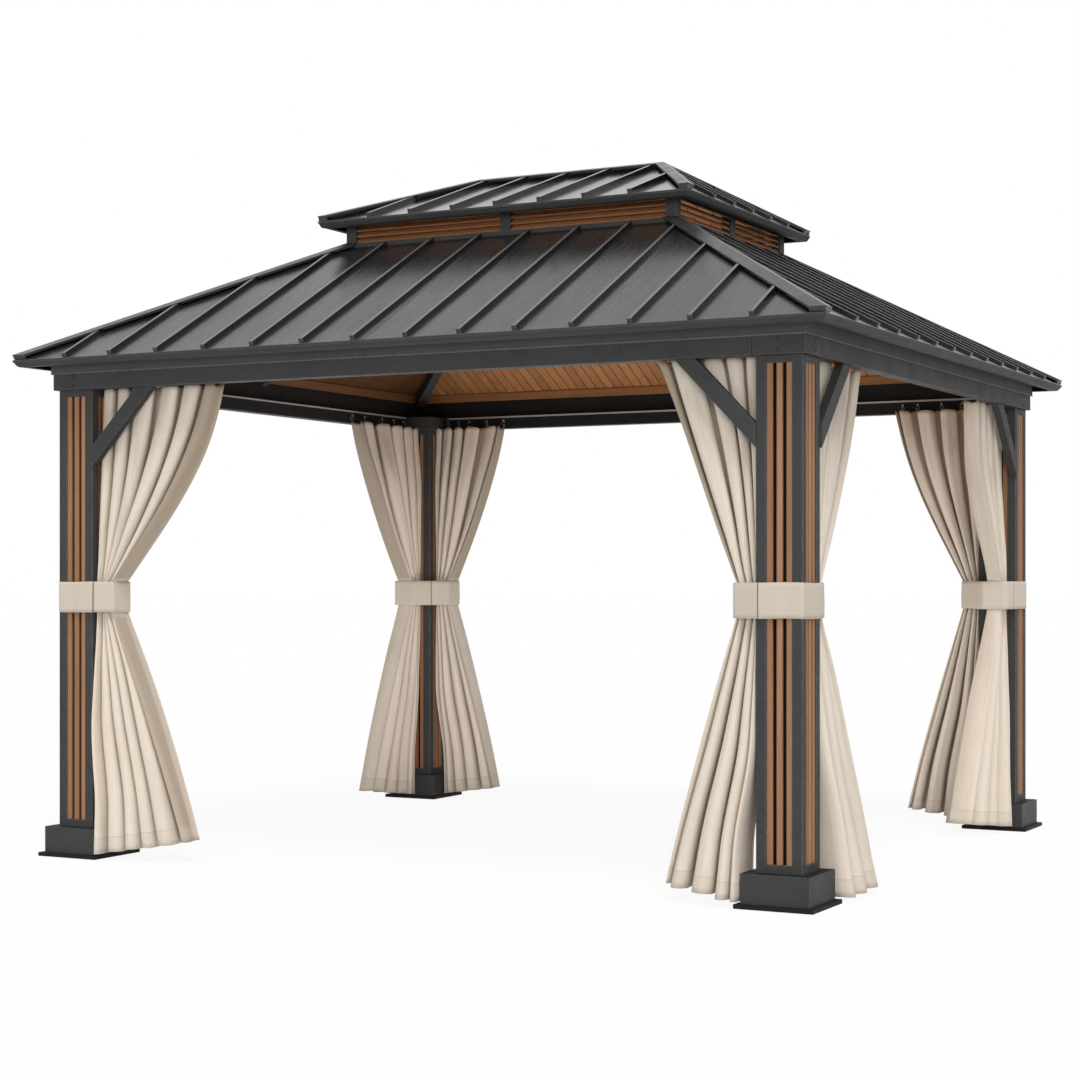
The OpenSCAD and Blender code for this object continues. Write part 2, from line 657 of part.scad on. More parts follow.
// One gathered curtain as [reach, depth, height], its post edge on reach 0 and its track side on depth 0
module curtain_body(top, hem, bow, ztop) {
    pleats = 4;
    nu = 4 * pleats;
    z0 = base_cover_top + 60;
    zs = concat([hem_height], [for (q = [0, 0.28, 0.58, 0.84, 1]) z0 + q * (tie_low - z0)],
        [for (q = [0, 0.1, 0.28, 0.5, 0.74, 1]) tie_top + q * (ztop - tie_top)]);
    m = 2 * (nu + 1);
    pts = [for (z = zs)
        let (
            w = curtain_reach(z, top, hem, bow, ztop), d = curtain_depth(z, ztop), c = curtain_mid(z), e = curtain_edge(z),
            rise = z == hem_height ? curtain_hem_rise : 0)
        each concat(
            [for (i = [0:nu]) [e + (w - e) * i / nu, c - d / 2 * (0.7 + 0.3 * cos(360 * i / 4)), z + rise * i / nu]],
            [for (i = [nu:-1:0]) [e + (w - e) * i / nu, c + d / 2 * (0.7 - 0.3 * cos(360 * i / 4)), z + rise * i / nu]])];
    last = (len(zs) - 1) * m;
    sides = [for (r = [0:len(zs) - 2], i = [0:m - 1]) let (j = (i + 1) % m) each [
        [r * m + i, (r + 1) * m + j, r * m + j], [r * m + i, (r + 1) * m + i, (r + 1) * m + j]]];
    caps = [for (i = [0:nu - 1]) each [
        [i, i + 1, m - 2 - i], [i, m - 2 - i, m - 1 - i],
        [last + i, last + m - 2 - i, last + i + 1], [last + i, last + m - 1 - i, last + m - 2 - i]]];
    polyhedron(points = pts, faces = concat(sides, caps));
}

// Curtain beside a post: side and direction along that side away from the post
module curtain(side, dir, index) {
    out = side % 2 == 0 ? beam_out_y : beam_out_x;
    edge = (side % 2 == 0 ? half_x : half_y) - post_width - 2;
    color(cloth) rotate([0, 0, 90 * side]) mirror([dir < 0 ? 0 : 1, 0, 0])
        translate([edge, -out + beam_width, 0]) mirror([1, 0, 0])
            curtain_body(curtain_top_reach[index], curtain_hem_reach[index], curtain_bow[index], beam_top - track_height - 2.3);
}

module curtain_front_left() { curtain(0, 1, 0); }
module curtain_front_right() { curtain(0, -1, 1); }
module curtain_back_left() { curtain(2, -1, 2); }
module curtain_back_right() { curtain(2, 1, 3); }
module curtain_left_front() { curtain(3, -1, 4); }
module curtain_right_front() { curtain(1, 1, 5); }
module curtain_left_back() { curtain(3, 1, 6); }
module curtain_right_back() { curtain(1, -1, 7); }

// Plan outline of a post and its two gathered curtains, the post corner at the origin and the yard toward +x and +y
module bundle() {
    p = post_width;
    c = -beam_overhang + beam_width + curtain_mid(tie_height);
    d = curtain_depth_waist / 2;
    w = curtain_waist + 2;
    polygon([[0, 0], [p, 0], [p + w, c - d], [p + w, c + d], [c + d, p + w], [c - d, p + w], [0, p]]);
}

module tie_band(sx, sy) {
    color(cloth) mirror([sx > 0 ? 1 : 0, 0, 0]) mirror([0, sy > 0 ? 1 : 0, 0])
        translate([-half_x, -half_y, tie_low]) linear_extrude(tie_width) difference() {
            offset(delta = 0.6 + tie_t) bundle();
            offset(delta = 0.6) bundle();
        }
}

module tie_band_front_left() { tie_band(-1, -1); }
module tie_band_front_right() { tie_band(1, -1); }
module tie_band_back_left() { tie_band(-1, 1); }
module tie_band_back_right() { tie_band(1, 1); }

foot_plates();
base_covers();
post_front_left();
post_front_right();
post_back_left();
post_back_right();
post_slats();
corner_blocks();
front_beam();
right_beam();
back_beam();
left_beam();
knee_braces();
curtain_tracks();
friezes();
eave_trims();
front_roof();
right_roof();
back_roof();
left_roof();
lower_hip_caps();
ceilings();
rafters();
cupola_curb();
cupola_posts();
cupola_head();
louvre_slats();
upper_front_roof();
upper_right_roof();
upper_back_roof();
upper_left_roof();
upper_hip_caps();
ridge_cap();
upper_eave_trims();
upper_ceilings();
curtain_front_left();
curtain_front_right();
curtain_back_left();
curtain_back_right();
curtain_left_front();
curtain_right_front();
curtain_left_back();
curtain_right_back();
tie_band_front_left();
tie_band_front_right();
tie_band_back_left();
tie_band_back_right();
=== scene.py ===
import math
import random
import bmesh
import bpy
from mathutils import Matrix, Vector, noise


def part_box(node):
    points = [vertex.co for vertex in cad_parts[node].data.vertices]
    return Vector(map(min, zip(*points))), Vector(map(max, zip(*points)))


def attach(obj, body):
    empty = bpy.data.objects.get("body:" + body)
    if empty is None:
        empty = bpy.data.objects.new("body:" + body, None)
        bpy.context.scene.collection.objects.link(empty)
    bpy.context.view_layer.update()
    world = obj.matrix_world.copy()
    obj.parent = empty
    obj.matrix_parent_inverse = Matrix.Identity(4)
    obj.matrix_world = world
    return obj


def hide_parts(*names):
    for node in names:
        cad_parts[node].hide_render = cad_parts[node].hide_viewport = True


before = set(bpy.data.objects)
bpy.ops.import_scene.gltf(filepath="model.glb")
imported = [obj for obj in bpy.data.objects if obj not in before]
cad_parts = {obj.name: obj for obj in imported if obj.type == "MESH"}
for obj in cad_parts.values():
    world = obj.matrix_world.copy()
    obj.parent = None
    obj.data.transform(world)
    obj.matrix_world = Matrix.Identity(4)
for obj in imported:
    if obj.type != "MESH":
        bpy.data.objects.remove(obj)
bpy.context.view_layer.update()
print("frame loaded,", len(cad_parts), "nodes")

# shared helpers

ownNames = {"friezes": "frieze_bands", "rafters": "ceiling_rafters"}  # pieces can't share a node's name
meshForm = {"merge": 0.00002, "flat": 0.00001, "plane": 0.5, "arris": 25.0, "cut": 1e-6}

def camelName(node):
    words = ownNames.get(node, node).split("_")
    return words[0] + "".join(w.capitalize() for w in words[1:])


def turned(degrees, axis):
    return Matrix.Rotation(math.radians(degrees), 4, axis)


def sideMatrix(side):
    return turned(90 * side, "Z")  # 0 front, 1 right, 2 back, 3 left


def nodeCopy(node):
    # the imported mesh, welded and with its flat faces whole again
    bm = bmesh.new()
    bm.from_mesh(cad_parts[node].data)
    bmesh.ops.remove_doubles(bm, verts=bm.verts, dist=meshForm["merge"])
    bmesh.ops.dissolve_degenerate(bm, dist=meshForm["flat"], edges=bm.edges[:])
    bmesh.ops.dissolve_limit(bm, angle_limit=math.radians(meshForm["plane"]), verts=bm.verts, edges=bm.edges)
    return bm


def cutAcross(bm, at, across):
    bmesh.ops.bisect_plane(bm, geom=bm.verts[:] + bm.edges[:] + bm.faces[:],
                           plane_co=at, plane_no=across, dist=meshForm["cut"])


def solidsOf(bm):
    # connected parts, in face order so that every run gives the same list
    bm.faces.ensure_lookup_table()
    bm.faces.index_update()
    seen, parts = set(), []
    for first in bm.faces:
        if first.index in seen:
            continue
        seen.add(first.index)
        part, stack = [], [first]
        while stack:
            f = stack.pop()
            part.append(f)
            for e in f.edges:
                for g in e.link_faces:
                    if g.index not in seen:
                        seen.add(g.index)
                        stack.append(g)
        parts.append(part)
    return parts


def toneSolids(bm, seed):
    # one random tone for each solid
    tones = bm.faces.layers.float.new("tone")
    draw = random.Random(seed)
    for part in solidsOf(bm):
        t = draw.random()
        for f in part:
            f[tones] = t


def softenEdges(bm, width, segments=2):
    # rounded arrises, marked so that the finish can show wear and a painted highlight there
    wornAndLit = bm.faces.layers.float.get("edgeWearAndHighlight") or bm.faces.layers.float.new("edgeWearAndHighlight")
    sharp = [e for e in bm.edges if len(e.link_faces) == 2 and e.is_convex
             and e.calc_face_angle() > math.radians(meshForm["arris"])]
    made = bmesh.ops.bevel(bm, geom=sharp, offset=width, offset_type="OFFSET", segments=segments,
                           profile=0.5, affect="EDGES", material=-1, clamp_overlap=True)
    for f in made["faces"]:
        f[wornAndLit] = 1.0
    # clamped bevels leave faces of no width
    bmesh.ops.dissolve_degenerate(bm, dist=meshForm["merge"], edges=bm.edges[:])


def addBox(bm, low, high, place=None):
    low, high = Vector(low), Vector(high)
    size = high - low
    where = Matrix.Translation((low + high) / 2) @ Matrix.Diagonal((*size, 1))
    made = bmesh.ops.create_cube(bm, size=1.0, matrix=where)
    if place is not None:
        bmesh.ops.transform(bm, matrix=place, verts=made["verts"])
    return made["verts"]


def meshOf(bm, name):
    mesh = bpy.data.meshes.new(name)
    bm.to_mesh(mesh)
    bm.free()
    return mesh


def inScene(name, data):
    thing = bpy.data.objects.new(name, data)
    bpy.context.scene.collection.objects.link(thing)
    return thing


def makePiece(bm, name, finishes, stands=(), smooth=False):
    mesh = meshOf(bm, name)
    piece = inScene(name, mesh)
    for finish in finishes:
        mesh.materials.append(finish)
    mesh.polygons.foreach_set("use_smooth", [smooth] * len(mesh.polygons))
    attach(piece, "root")
    if stands:
        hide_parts(*stands)
    return piece


def skinGrid(bm, grid, cell, flip, flatAt):
    # quads between the points of a grid, each corner with its place on the flat cloth
    flatMap = bm.loops.layers.uv["clothMap"]
    for a in range(len(grid) - 1):
        for b in range(len(grid[0]) - 1):
            corners = [(a + da, b + db) for da, db in (cell[::-1] if flip else cell)]
            face = bm.faces.new([grid[m][n] for m, n in corners])
            for loop, (m, n) in zip(face.loops, corners):
                loop[flatMap].uv = flatAt(m, n)


def thicken(piece, thick):
    wall = piece.modifiers.new("cloth", "SOLIDIFY")
    wall.thickness = thick
    wall.offset = 0.0


# node trees

def feed(tree, spot, value):
    if isinstance(value, bpy.types.NodeSocket):
        tree.links.new(value, spot)
    else:
        spot.default_value = value


def addNode(tree, kind, inputs=None, **settings):
    n = tree.nodes.new("ShaderNode" + kind)
    for key, value in settings.items():
        setattr(n, key, value)
    for key, value in (inputs or {}).items():
        feed(tree, n.inputs[key], value)
    return n


class Finish:
    def __init__(self, name):
        self.material = bpy.data.materials.new(name)
        self.material.use_nodes = True
        self.tree = self.material.node_tree
        self.shader = self.tree.nodes["Principled BSDF"]
        self.coords = self.add("TexCoord").outputs["Object"]

    def add(self, kind, inputs=None, **settings):
        return addNode(self.tree, kind, inputs, **settings)

    def noise(self, scale, vector=None, detail=3.0, rough=0.55):
        return self.add("TexNoise", {"Vector": vector or self.coords, "Scale": scale,
                                               "Detail": detail, "Roughness": rough}).outputs[0]

    def streaks(self, scale, source=None, detail=3.0, rough=0.55):
        drawn = self.add("Mapping", {"Vector": source or self.coords, "Scale": scale}).outputs[0]
        return self.noise(1.0, drawn, detail, rough)

    def attribute(self, name):
        return self.add("Attribute", attribute_name=name).outputs["Fac"]

    def calc(self, operation, a, b=0.0):
        return self.add("Math", {0: a, 1: b}, operation=operation).outputs[0]

    def times(self, a, b):
        return self.calc("MULTIPLY", a, b)

    def remap(self, value, low, high, toLow, toHigh):
        return self.add("MapRange", {"Value": value, "From Min": low, "From Max": high,
                                               "To Min": toLow, "To Max": toHigh}).outputs[0]

    def blend(self, factor, first, second):
        return self.add("Mix", {0: factor, 6: first, 7: second}, data_type="RGBA").outputs[2]

    def bump(self, height, distance, strength=1.0, normal=None):
        inputs = {"Height": height, "Distance": distance, "Strength": strength}
        if normal is not None:
            inputs["Normal"] = normal
        return self.add("Bump", inputs).outputs[0]

    def finish(self, **sockets):
        for key, value in sockets.items():
            feed(self.tree, self.shader.inputs[key.replace("_", " ")], value)
        return self.material


def grey(value, warm=0.0):
    return (value * (1 + warm), value, value * (1 - warm), 1.0)


def darker(colour, share):
    return [share * c for c in colour[:3]] + [1.0]


# camera at the photograph's angle

cameraSetup = {"place": (4.4767, -8.8353, 1.196), "yaw": 27.639, "lens": 72.388, "sensor": 36.0,
               "shiftY": 0.03468, "far": 200.0}

def makeCamera():
    c, data = cameraSetup, bpy.data.cameras.new("camera")
    data.sensor_fit = "HORIZONTAL"
    data.sensor_width = c["sensor"]
    data.lens = c["lens"]
    data.shift_y = c["shiftY"]
    data.clip_end = c["far"]
    cam = inScene("camera", data)
    cam.location = c["place"]
    cam.rotation_euler = (math.radians(90), 0.0, math.radians(c["yaw"]))
    bpy.context.scene.camera = cam


# floor, sky and lamps

stageSetup = {"floorSize": 240.0, "floorDrop": 0.0005, "floorTone": 0.78, "floorSeen": 1.0,
              "floorWhite": 0.92, "skyLight": 0.5, "skyTint": (1.0, 0.995, 0.985, 1.0)}
lampSetup = {
    "key": {"toward": (0.33, -0.42, 0.93), "strength": 1.5, "spread": 20.0},
    "fill": {"toward": (0.42, -0.90, 0.06), "strength": 1.3, "spread": 30.0},
    "rim": {"toward": (-0.85, 0.42, 0.38), "strength": 0.15, "spread": 30.0},
}
bounceSetup = {"size": (2.4, 2.0), "watts": 27.0, "high": 0.004}

def seenDirectly(tree):
    # 1 for the rays that look straight at the background or mirror it
    path = addNode(tree, "LightPath").outputs
    total = path["Is Camera Ray"]
    for ray in ("Is Glossy Ray", "Is Transmission Ray"):
        total = addNode(tree, "Math", {0: total, 1: path[ray]}, operation="MAXIMUM").outputs[0]
    return total


def makeSky():
    # white to the camera and in mirrors, a plain level of light on everything else
    world = bpy.data.worlds.new("sky")
    bpy.context.scene.world = world
    world.use_nodes = True
    tree = world.node_tree
    sky = tree.nodes["Background"]
    sky.inputs["Color"].default_value = stageSetup["skyTint"]
    sky.inputs["Strength"].default_value = stageSetup["skyLight"]
    white = addNode(tree, "Background", {"Color": grey(1.0), "Strength": 1.0})
    mix = addNode(tree, "MixShader", {0: seenDirectly(tree), 1: sky.outputs[0], 2: white.outputs[0]})
    tree.links.new(mix.outputs[0], tree.nodes["World Output"].inputs["Surface"])


def makeFloor():
    bm = bmesh.new()
    bmesh.ops.create_grid(bm, x_segments=1, y_segments=1, size=stageSetup["floorSize"] / 2)
    bmesh.ops.translate(bm, vec=(0.0, 0.0, -stageSetup["floorDrop"]), verts=bm.verts)
    floor = inScene("floor", meshOf(bm, "floor"))
    paint = bpy.data.materials.new("paleFloor")
    paint.use_nodes = True
    tree = paint.node_tree
    tree.nodes.remove(tree.nodes["Principled BSDF"])
    seen = seenDirectly(tree)
    tones = {0: seen, 6: grey(stageSetup["floorTone"]), 7: grey(stageSetup["floorSeen"])}
    shade = addNode(tree, "Mix", tones, data_type="RGBA")
    matt = addNode(tree, "BsdfDiffuse", {"Color": shade.outputs[2]})
    glow = addNode(tree, "Emission", {"Color": grey(1.0)})
    share = addNode(tree, "Math", {0: seen, 1: stageSetup["floorWhite"]}, operation="MULTIPLY")
    mix = addNode(tree, "MixShader", {0: share.outputs[0], 1: matt.outputs[0], 2: glow.outputs[0]})
    tree.links.new(mix.outputs[0], tree.nodes["Material Output"].inputs["Surface"])
    floor.data.materials.append(paint)


def makeLamps():
    for name, setup in lampSetup.items():
        lamp = bpy.data.lights.new(name + "Lamp", "SUN")
        lamp.energy = setup["strength"]
        lamp.angle = math.radians(setup["spread"])
        holder = inScene(name + "Lamp", lamp)
        holder.rotation_euler = Vector(setup["toward"]).to_track_quat("Z", "Y").to_euler()
    # light thrown up by the pale floor under the roof
    lamp = bpy.data.lights.new("bounceLamp", "AREA")
    lamp.shape = "RECTANGLE"
    lamp.size, lamp.size_y = bounceSetup["size"]
    lamp.energy = bounceSetup["watts"]
    holder = inScene("bounceLamp", lamp)
    holder.location.z = bounceSetup["high"]
    holder.rotation_euler.x = math.pi
    holder.visible_camera = False
    holder.visible_glossy = False


makeCamera()
makeSky()
makeFloor()
makeLamps()
bpy.context.scene.view_settings.view_transform = "Standard"
print("camera, floor and lamps placed")

# finishes

def charcoalCoat(name, tone=0.054, smooth=0.48, gloss=0.1):
    f = Finish(name)
    clouds = f.noise(2.6, detail=4.0)
    smudge = f.noise(11.0, detail=5.0, rough=0.65)
    grain = f.noise(850.0, detail=2.0)
    chips = f.noise(70.0, detail=4.0, rough=0.7)
    base = f.blend(clouds, grey(tone * 0.82), grey(tone * 1.2))
    base = f.blend(f.remap(smudge, 0.56, 0.72, 0.0, 0.28), base, grey(tone * 0.5, 0.03))
    # lighter arrises: partly wear, partly a painted highlight
    wear = f.times(f.attribute("edgeWearAndHighlight"), f.remap(chips, 0.4, 0.62, 0.15, 0.8))
    base = f.blend(wear, base, grey(tone * 2.6))
    rough = f.remap(smudge, 0.3, 0.7, smooth, smooth + 0.16)
    return f.finish(Base_Color=base, Roughness=rough, Specular_IOR_Level=gloss,
                    Normal=f.bump(grain, 0.0004, 0.22))


def roofPaint(name, acrossX, tone=0.013, seam=0.11, smooth=(0.13, 0.36), dent=0.0005):
    # a dark satin paint that mirrors the sky, with fine streaks up the slope
    f = Finish(name)
    streak = f.streaks((330.0, 5.0, 5.0) if acrossX else (5.0, 330.0, 5.0), detail=4.0, rough=0.7)
    bands = f.streaks((26.0, 1.6, 1.6) if acrossX else (1.6, 26.0, 1.6))
    clouds = f.noise(1.7, detail=4.0)
    base = f.blend(streak, grey(tone * 0.55, -0.02), grey(tone * 1.5, -0.02))
    base = f.blend(f.remap(bands, 0.35, 0.7, 0.0, 0.5), base, grey(tone * 1.35, -0.025))
    base = f.blend(f.remap(clouds, 0.4, 0.7, 0.0, 0.4), base, grey(tone * 0.75, -0.015))
    # painted highlight: the seam tops and rounded arrises take the lighter seam colour
    base = f.blend(f.times(f.attribute("edgeWearAndHighlight"), 0.85), base, grey(seam, -0.02))
    rough = f.calc("ADD", f.remap(streak, 0.3, 0.7, *smooth), f.remap(clouds, 0.3, 0.7, -0.03, 0.05))
    ripple = f.bump(clouds, 0.004, 0.12)
    return f.finish(Base_Color=base, Roughness=rough, Specular_IOR_Level=0.5,
                    Normal=f.bump(streak, dent, 0.3, ripple))


def woodLook(name, axis, light, dark):
    # printed grain that runs along one axis
    f = Finish(name)
    along = {"X": (5.0, 160.0, 160.0), "Y": (160.0, 5.0, 160.0), "Z": (160.0, 160.0, 5.0)}[axis]
    wide = {"X": (1.3, 34.0, 34.0), "Y": (34.0, 1.3, 34.0), "Z": (34.0, 34.0, 1.3)}[axis]
    tone = f.attribute("tone")
    offset = f.add("CombineXYZ", {"X": tone, "Y": tone, "Z": tone}).outputs[0]
    shift = f.add("VectorMath", {0: f.coords, 1: offset}, operation="ADD").outputs[0]
    fibre = f.streaks(along, shift, detail=5.0, rough=0.65)
    figure = f.streaks(wide, shift)
    base = f.blend(f.remap(figure, 0.32, 0.68, 0.0, 1.0), dark, light)
    base = f.blend(f.remap(fibre, 0.56, 0.76, 0.0, 0.55), base, darker(dark, 0.42))
    value = f.remap(tone, 0.0, 1.0, 0.84, 1.14)
    bright = f.add("HueSaturation", {"Color": base, "Value": value}).outputs[0]
    # lighter rounded edges: partly wear, partly a painted highlight
    wornAndLit = [min(1.0, c * 1.25) for c in light[:3]] + [1.0]
    bright = f.blend(f.times(f.attribute("edgeWearAndHighlight"), 0.4), bright, wornAndLit)
    return f.finish(Base_Color=bright, Roughness=f.remap(fibre, 0.3, 0.7, 0.46, 0.62),
                    Specular_IOR_Level=0.35, Normal=f.bump(fibre, 0.0004, 0.35))


def satinTrack(name):
    f = Finish(name)
    lines = f.streaks((9.0, 9.0, 900.0))
    clouds = f.noise(3.0)
    base = f.blend(lines, grey(0.36), grey(0.5))
    base = f.blend(f.remap(clouds, 0.4, 0.7, 0.0, 0.35), base, grey(0.3))
    return f.finish(Base_Color=base, Metallic=0.2, Roughness=f.remap(lines, 0.3, 0.7, 0.4, 0.55),
                    Normal=f.bump(lines, 0.0002, 0.2))


def darkSteel(name, tone=0.02):
    f = Finish(name)
    spots = f.noise(160.0, detail=3.0)
    base = f.blend(spots, grey(tone * 0.7), grey(tone * 1.6))
    return f.finish(Base_Color=base, Metallic=0.3, Roughness=f.remap(spots, 0.3, 0.7, 0.34, 0.5),
                    Normal=f.bump(spots, 0.0002, 0.2))


clothWeave = {"thread": 0.0011, "hem": 0.068, "sideHem": 0.022, "stitch": 0.0065, "seamIn": 0.003,
              "seamHalf": 0.0011, "seamDent": 0.006, "shadow": (0.42, 0.365, 0.30)}

def clothFinish(name, light, shade, width, hem=None, sideHem=None, creases=0.4, edgeTint=(0.86, 0.42)):
    # the map is in metres of flat cloth: across, and up from the bottom edge
    f, w = Finish(name), clothWeave
    deep = [a * c for a, c in zip(w["shadow"], shade)] + [1.0]
    flat = f.add("UVMap", uv_map="clothMap").outputs[0]
    split = f.add("SeparateXYZ", {0: flat}).outputs
    across, up = split[0], split[1]
    turn = 2 * math.pi / w["thread"]
    warp = f.calc("SINE", f.times(across, turn))
    weft = f.calc("SINE", f.times(up, turn))
    weave = f.times(warp, weft)
    slubUp = f.streaks((420.0, 9.0, 1.0), flat)
    slubAcross = f.streaks((8.0, 420.0, 1.0), flat)
    slub = f.times(f.calc("ADD", slubUp, slubAcross), 0.5)
    cloud = f.noise(7.0, flat, detail=4.0, rough=0.6)
    base = f.blend(f.remap(slub, 0.3, 0.7, 0.0, 1.0), shade, light)
    base = f.blend(f.remap(cloud, 0.45, 0.75, 0.0, 0.3), base, shade)
    # long soft creases up the cloth: a streaky tone, with painted shade along the creases
    crease = f.streaks((52.0, 2.2, 1.0), flat, detail=4.0, rough=0.6)
    base = f.blend(f.remap(crease, 0.45, 0.74, 0.0, creases), base, darker(shade, 0.8))
    # soft smudges of shade, more of them towards the heading
    if creases > 0:
        smudge = f.remap(f.streaks((10.0, 1.7, 1.0), flat), 0.5, 0.74, 0.0, 0.5)
        smudge = f.times(smudge, f.remap(up, 0.9, 1.9, 0.25, 1.0))
        base = f.blend(smudge, base, deep)
    base = f.blend(f.attribute("foldShade"), base, deep)
    height = f.calc("ADD", f.times(weave, 0.08), slub)
    # hems are two layers deep: a touch darker, with a stitched line; a strong edge tint paints the shadow at
    # a lapped end
    edges = []
    if hem:
        edges.append((up, hem, across))
    if sideHem:
        edges.append((across, sideHem, up))
        edges.append((f.calc("SUBTRACT", width, across), sideHem, up))
    for gap, wide, run in edges:
        inside = f.calc("LESS_THAN", gap, wide)
        base = f.blend(f.times(inside, edgeTint[1]), base, darker(shade, edgeTint[0]))
        away = f.calc("ABSOLUTE", f.calc("SUBTRACT", gap, wide - w["seamIn"]))
        beat = f.calc("SINE", f.times(run, 2 * math.pi / w["stitch"]))
        dash = f.calc("GREATER_THAN", beat, -0.45)
        seam = f.times(f.calc("LESS_THAN", away, w["seamHalf"]), dash)
        base = f.blend(f.times(seam, 0.7), base, darker(shade, 0.55))
        dent = f.remap(away, 0.0, w["seamDent"], -1.6, 0.0)
        height = f.calc("ADD", height, f.calc("ADD", dent, f.times(inside, 0.9)))
    folded = f.bump(crease, 0.01 * creases, 0.5)
    return f.finish(Base_Color=base, Roughness=0.88, Specular_IOR_Level=0.18, Sheen_Weight=0.12,
                    Sheen_Roughness=0.5, Normal=f.bump(height, 0.0007, 0.4, folded))


coat = charcoalCoat("charcoalCoat")
coatBase = charcoalCoat("charcoalBase", 0.046, 0.46, 0.2)
# lighter coat for the friezes: painted light that lifts the eave's shadow off them
friezeCoat = charcoalCoat("friezeCoat", 0.105)
# the foot plates and the tops of the base covers are darkened with painted shade
plateShadeCoat = charcoalCoat("plateShadeCoat", 0.008, 0.6, 0.2)
# darker coat with painted shade for the inward faces of the beams and friezes and under the tracks
innerShadeCoat = charcoalCoat("innerShadeCoat", 0.013, 0.55, 0.2)
pocketShade = charcoalCoat("pocketShade", 0.005, 0.7, 0.1)
roofLong = roofPaint("roofPaintLong", True)
roofShort = roofPaint("roofPaintShort", False)
upperLong = roofPaint("upperPaintLong", True, smooth=(0.07, 0.2), dent=0.0002)
capPaint = charcoalCoat("capPaint", 0.032, 0.26, 0.45)
slatWood = woodLook("slatWood", "Z", (0.36, 0.185, 0.095, 1.0), (0.285, 0.136, 0.063, 1.0))
louvreWoodX = woodLook("louvreWoodX", "X", (0.36, 0.165, 0.075, 1.0), (0.27, 0.115, 0.048, 1.0))
louvreWoodY = woodLook("louvreWoodY", "Y", (0.36, 0.165, 0.075, 1.0), (0.27, 0.115, 0.048, 1.0))
# the left and right panels' wood is lightened with painted light, far past the front and back panels' wood
litBoardWoodX = woodLook("litBoardWoodX", "X", (0.70, 0.316, 0.115, 1.0), (0.55, 0.224, 0.076, 1.0))
boardWoodY = woodLook("boardWoodY", "Y", (0.40, 0.184, 0.072, 1.0), (0.315, 0.133, 0.049, 1.0))
# edge boards: the board wood darkened with painted shade
shadedEdgeWoodX = woodLook("shadedEdgeWoodX", "X", (0.27, 0.119, 0.044, 1.0), (0.21, 0.086, 0.03, 1.0))
shadedEdgeWoodY = woodLook("shadedEdgeWoodY", "Y", (0.2, 0.088, 0.033, 1.0), (0.155, 0.063, 0.022, 1.0))
# dark wood that paints the shade in the grooves between boards
grooveShadeWood = woodLook("grooveShadeWood", "X", (0.11, 0.048, 0.018, 1.0), (0.08, 0.034, 0.012, 1.0))
trackMetal = satinTrack("trackMetal")
screwSteel = darkSteel("screwSteel")
hookSteel = darkSteel("hookSteel", 0.3)
print("finishes mixed")

# metal frame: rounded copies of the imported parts

frameEdges = {
    "foot_plates": 0.004, "base_covers": 0.0014,
    "post_front_left": 0.0024, "post_front_right": 0.0024,
    "post_back_left": 0.0024, "post_back_right": 0.0024,
    "corner_blocks": 0.002, "front_beam": 0.002, "right_beam": 0.002, "back_beam": 0.002, "left_beam": 0.002,
    "knee_braces": 0.002, "friezes": 0.0015, "eave_trims": 0.0009, "rafters": 0.002,
    "cupola_curb": 0.0018, "cupola_posts": 0.0018, "cupola_head": 0.0018, "upper_eave_trims": 0.0009,
}

pocketDepth = 0.005  # past this a post's face lies behind its slats
# how squarely a face has to look that way to be counted
facing = {"coverTop": 0.5, "friezeInside": 0.5, "beamInside": 0.95, "postEnd": 0.9, "sheet": 0.5, "seam": 0.9,
          "board": 0.99, "trackUnder": 0.9}

def makeFrame():
    for node, width in frameEdges.items():
        bm = nodeCopy(node)
        softenEdges(bm, width)
        bm.normal_update()
        low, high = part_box(node)
        finishes, second = [coat], set()
        # painted shade: the plates and the upward faces of the covers take the darker coat
        if node == "foot_plates":
            finishes = [plateShadeCoat]
        elif node == "base_covers":
            finishes = [coatBase, plateShadeCoat]
            second = {f for f in bm.faces if f.normal.z > facing["coverTop"]}
        elif node == "friezes":
            # the friezes' outer faces take painted light, their inward faces painted shade
            finishes = [friezeCoat, innerShadeCoat]
            for f in bm.faces:
                c = f.calc_center_median()
                if f.normal.x * c.x + f.normal.y * c.y < -facing["friezeInside"]:
                    second.add(f)
        elif node.endswith("_beam"):
            # inward faces take the coat darkened with painted shade
            finishes = [coat, innerShadeCoat]
            inward = Vector((-low.x - high.x, -low.y - high.y, 0.0)).normalized()
            second = {f for f in bm.faces if f.normal.dot(inward) > facing["beamInside"]}
        elif node.startswith("post_"):
            finishes = [coat, pocketShade]
            for f in bm.faces:
                c = f.calc_center_median()
                deep = min(c.x - low.x, high.x - c.x, c.y - low.y, high.y - c.y)
                if deep > pocketDepth and abs(f.normal.z) < facing["postEnd"]:
                    second.add(f)
        for f in bm.faces:
            f.material_index = 1 if f in second else 0
        makePiece(bm, camelName(node), finishes, [node])


# small fixings on the frame: bolt heads, screws, and dark strips that paint the shade in the open lines
# between rails and stiles

fixingForm = {
    "bolt": 0.0058, "boltHigh": 0.004, "washer": 0.0095, "washerHigh": 0.0012, "boltZ": (2.016, 2.057),
    "screw": 0.0042, "screwHigh": 0.0016, "screws": ((-0.0632, 0.359), (-0.0632, 0.272), (0.0700, 0.268)),
    "line": 0.0011, "lineProud": 0.0002, "railEdge": 0.049, "rails": ((0.1285, 0.1580), (1.9720, 1.9985)),
    "friezeEnd": -1.534, "friezeFace": 1.527, "friezePlate": 0.0014, "friezeZ": (2.0758, 2.150),
    "friezeLine": 0.002, "plateOver": 0.008, "plateEdge": 0.0005, "sunk": 0.0006, "taper": 0.8, "sides": 12,
}

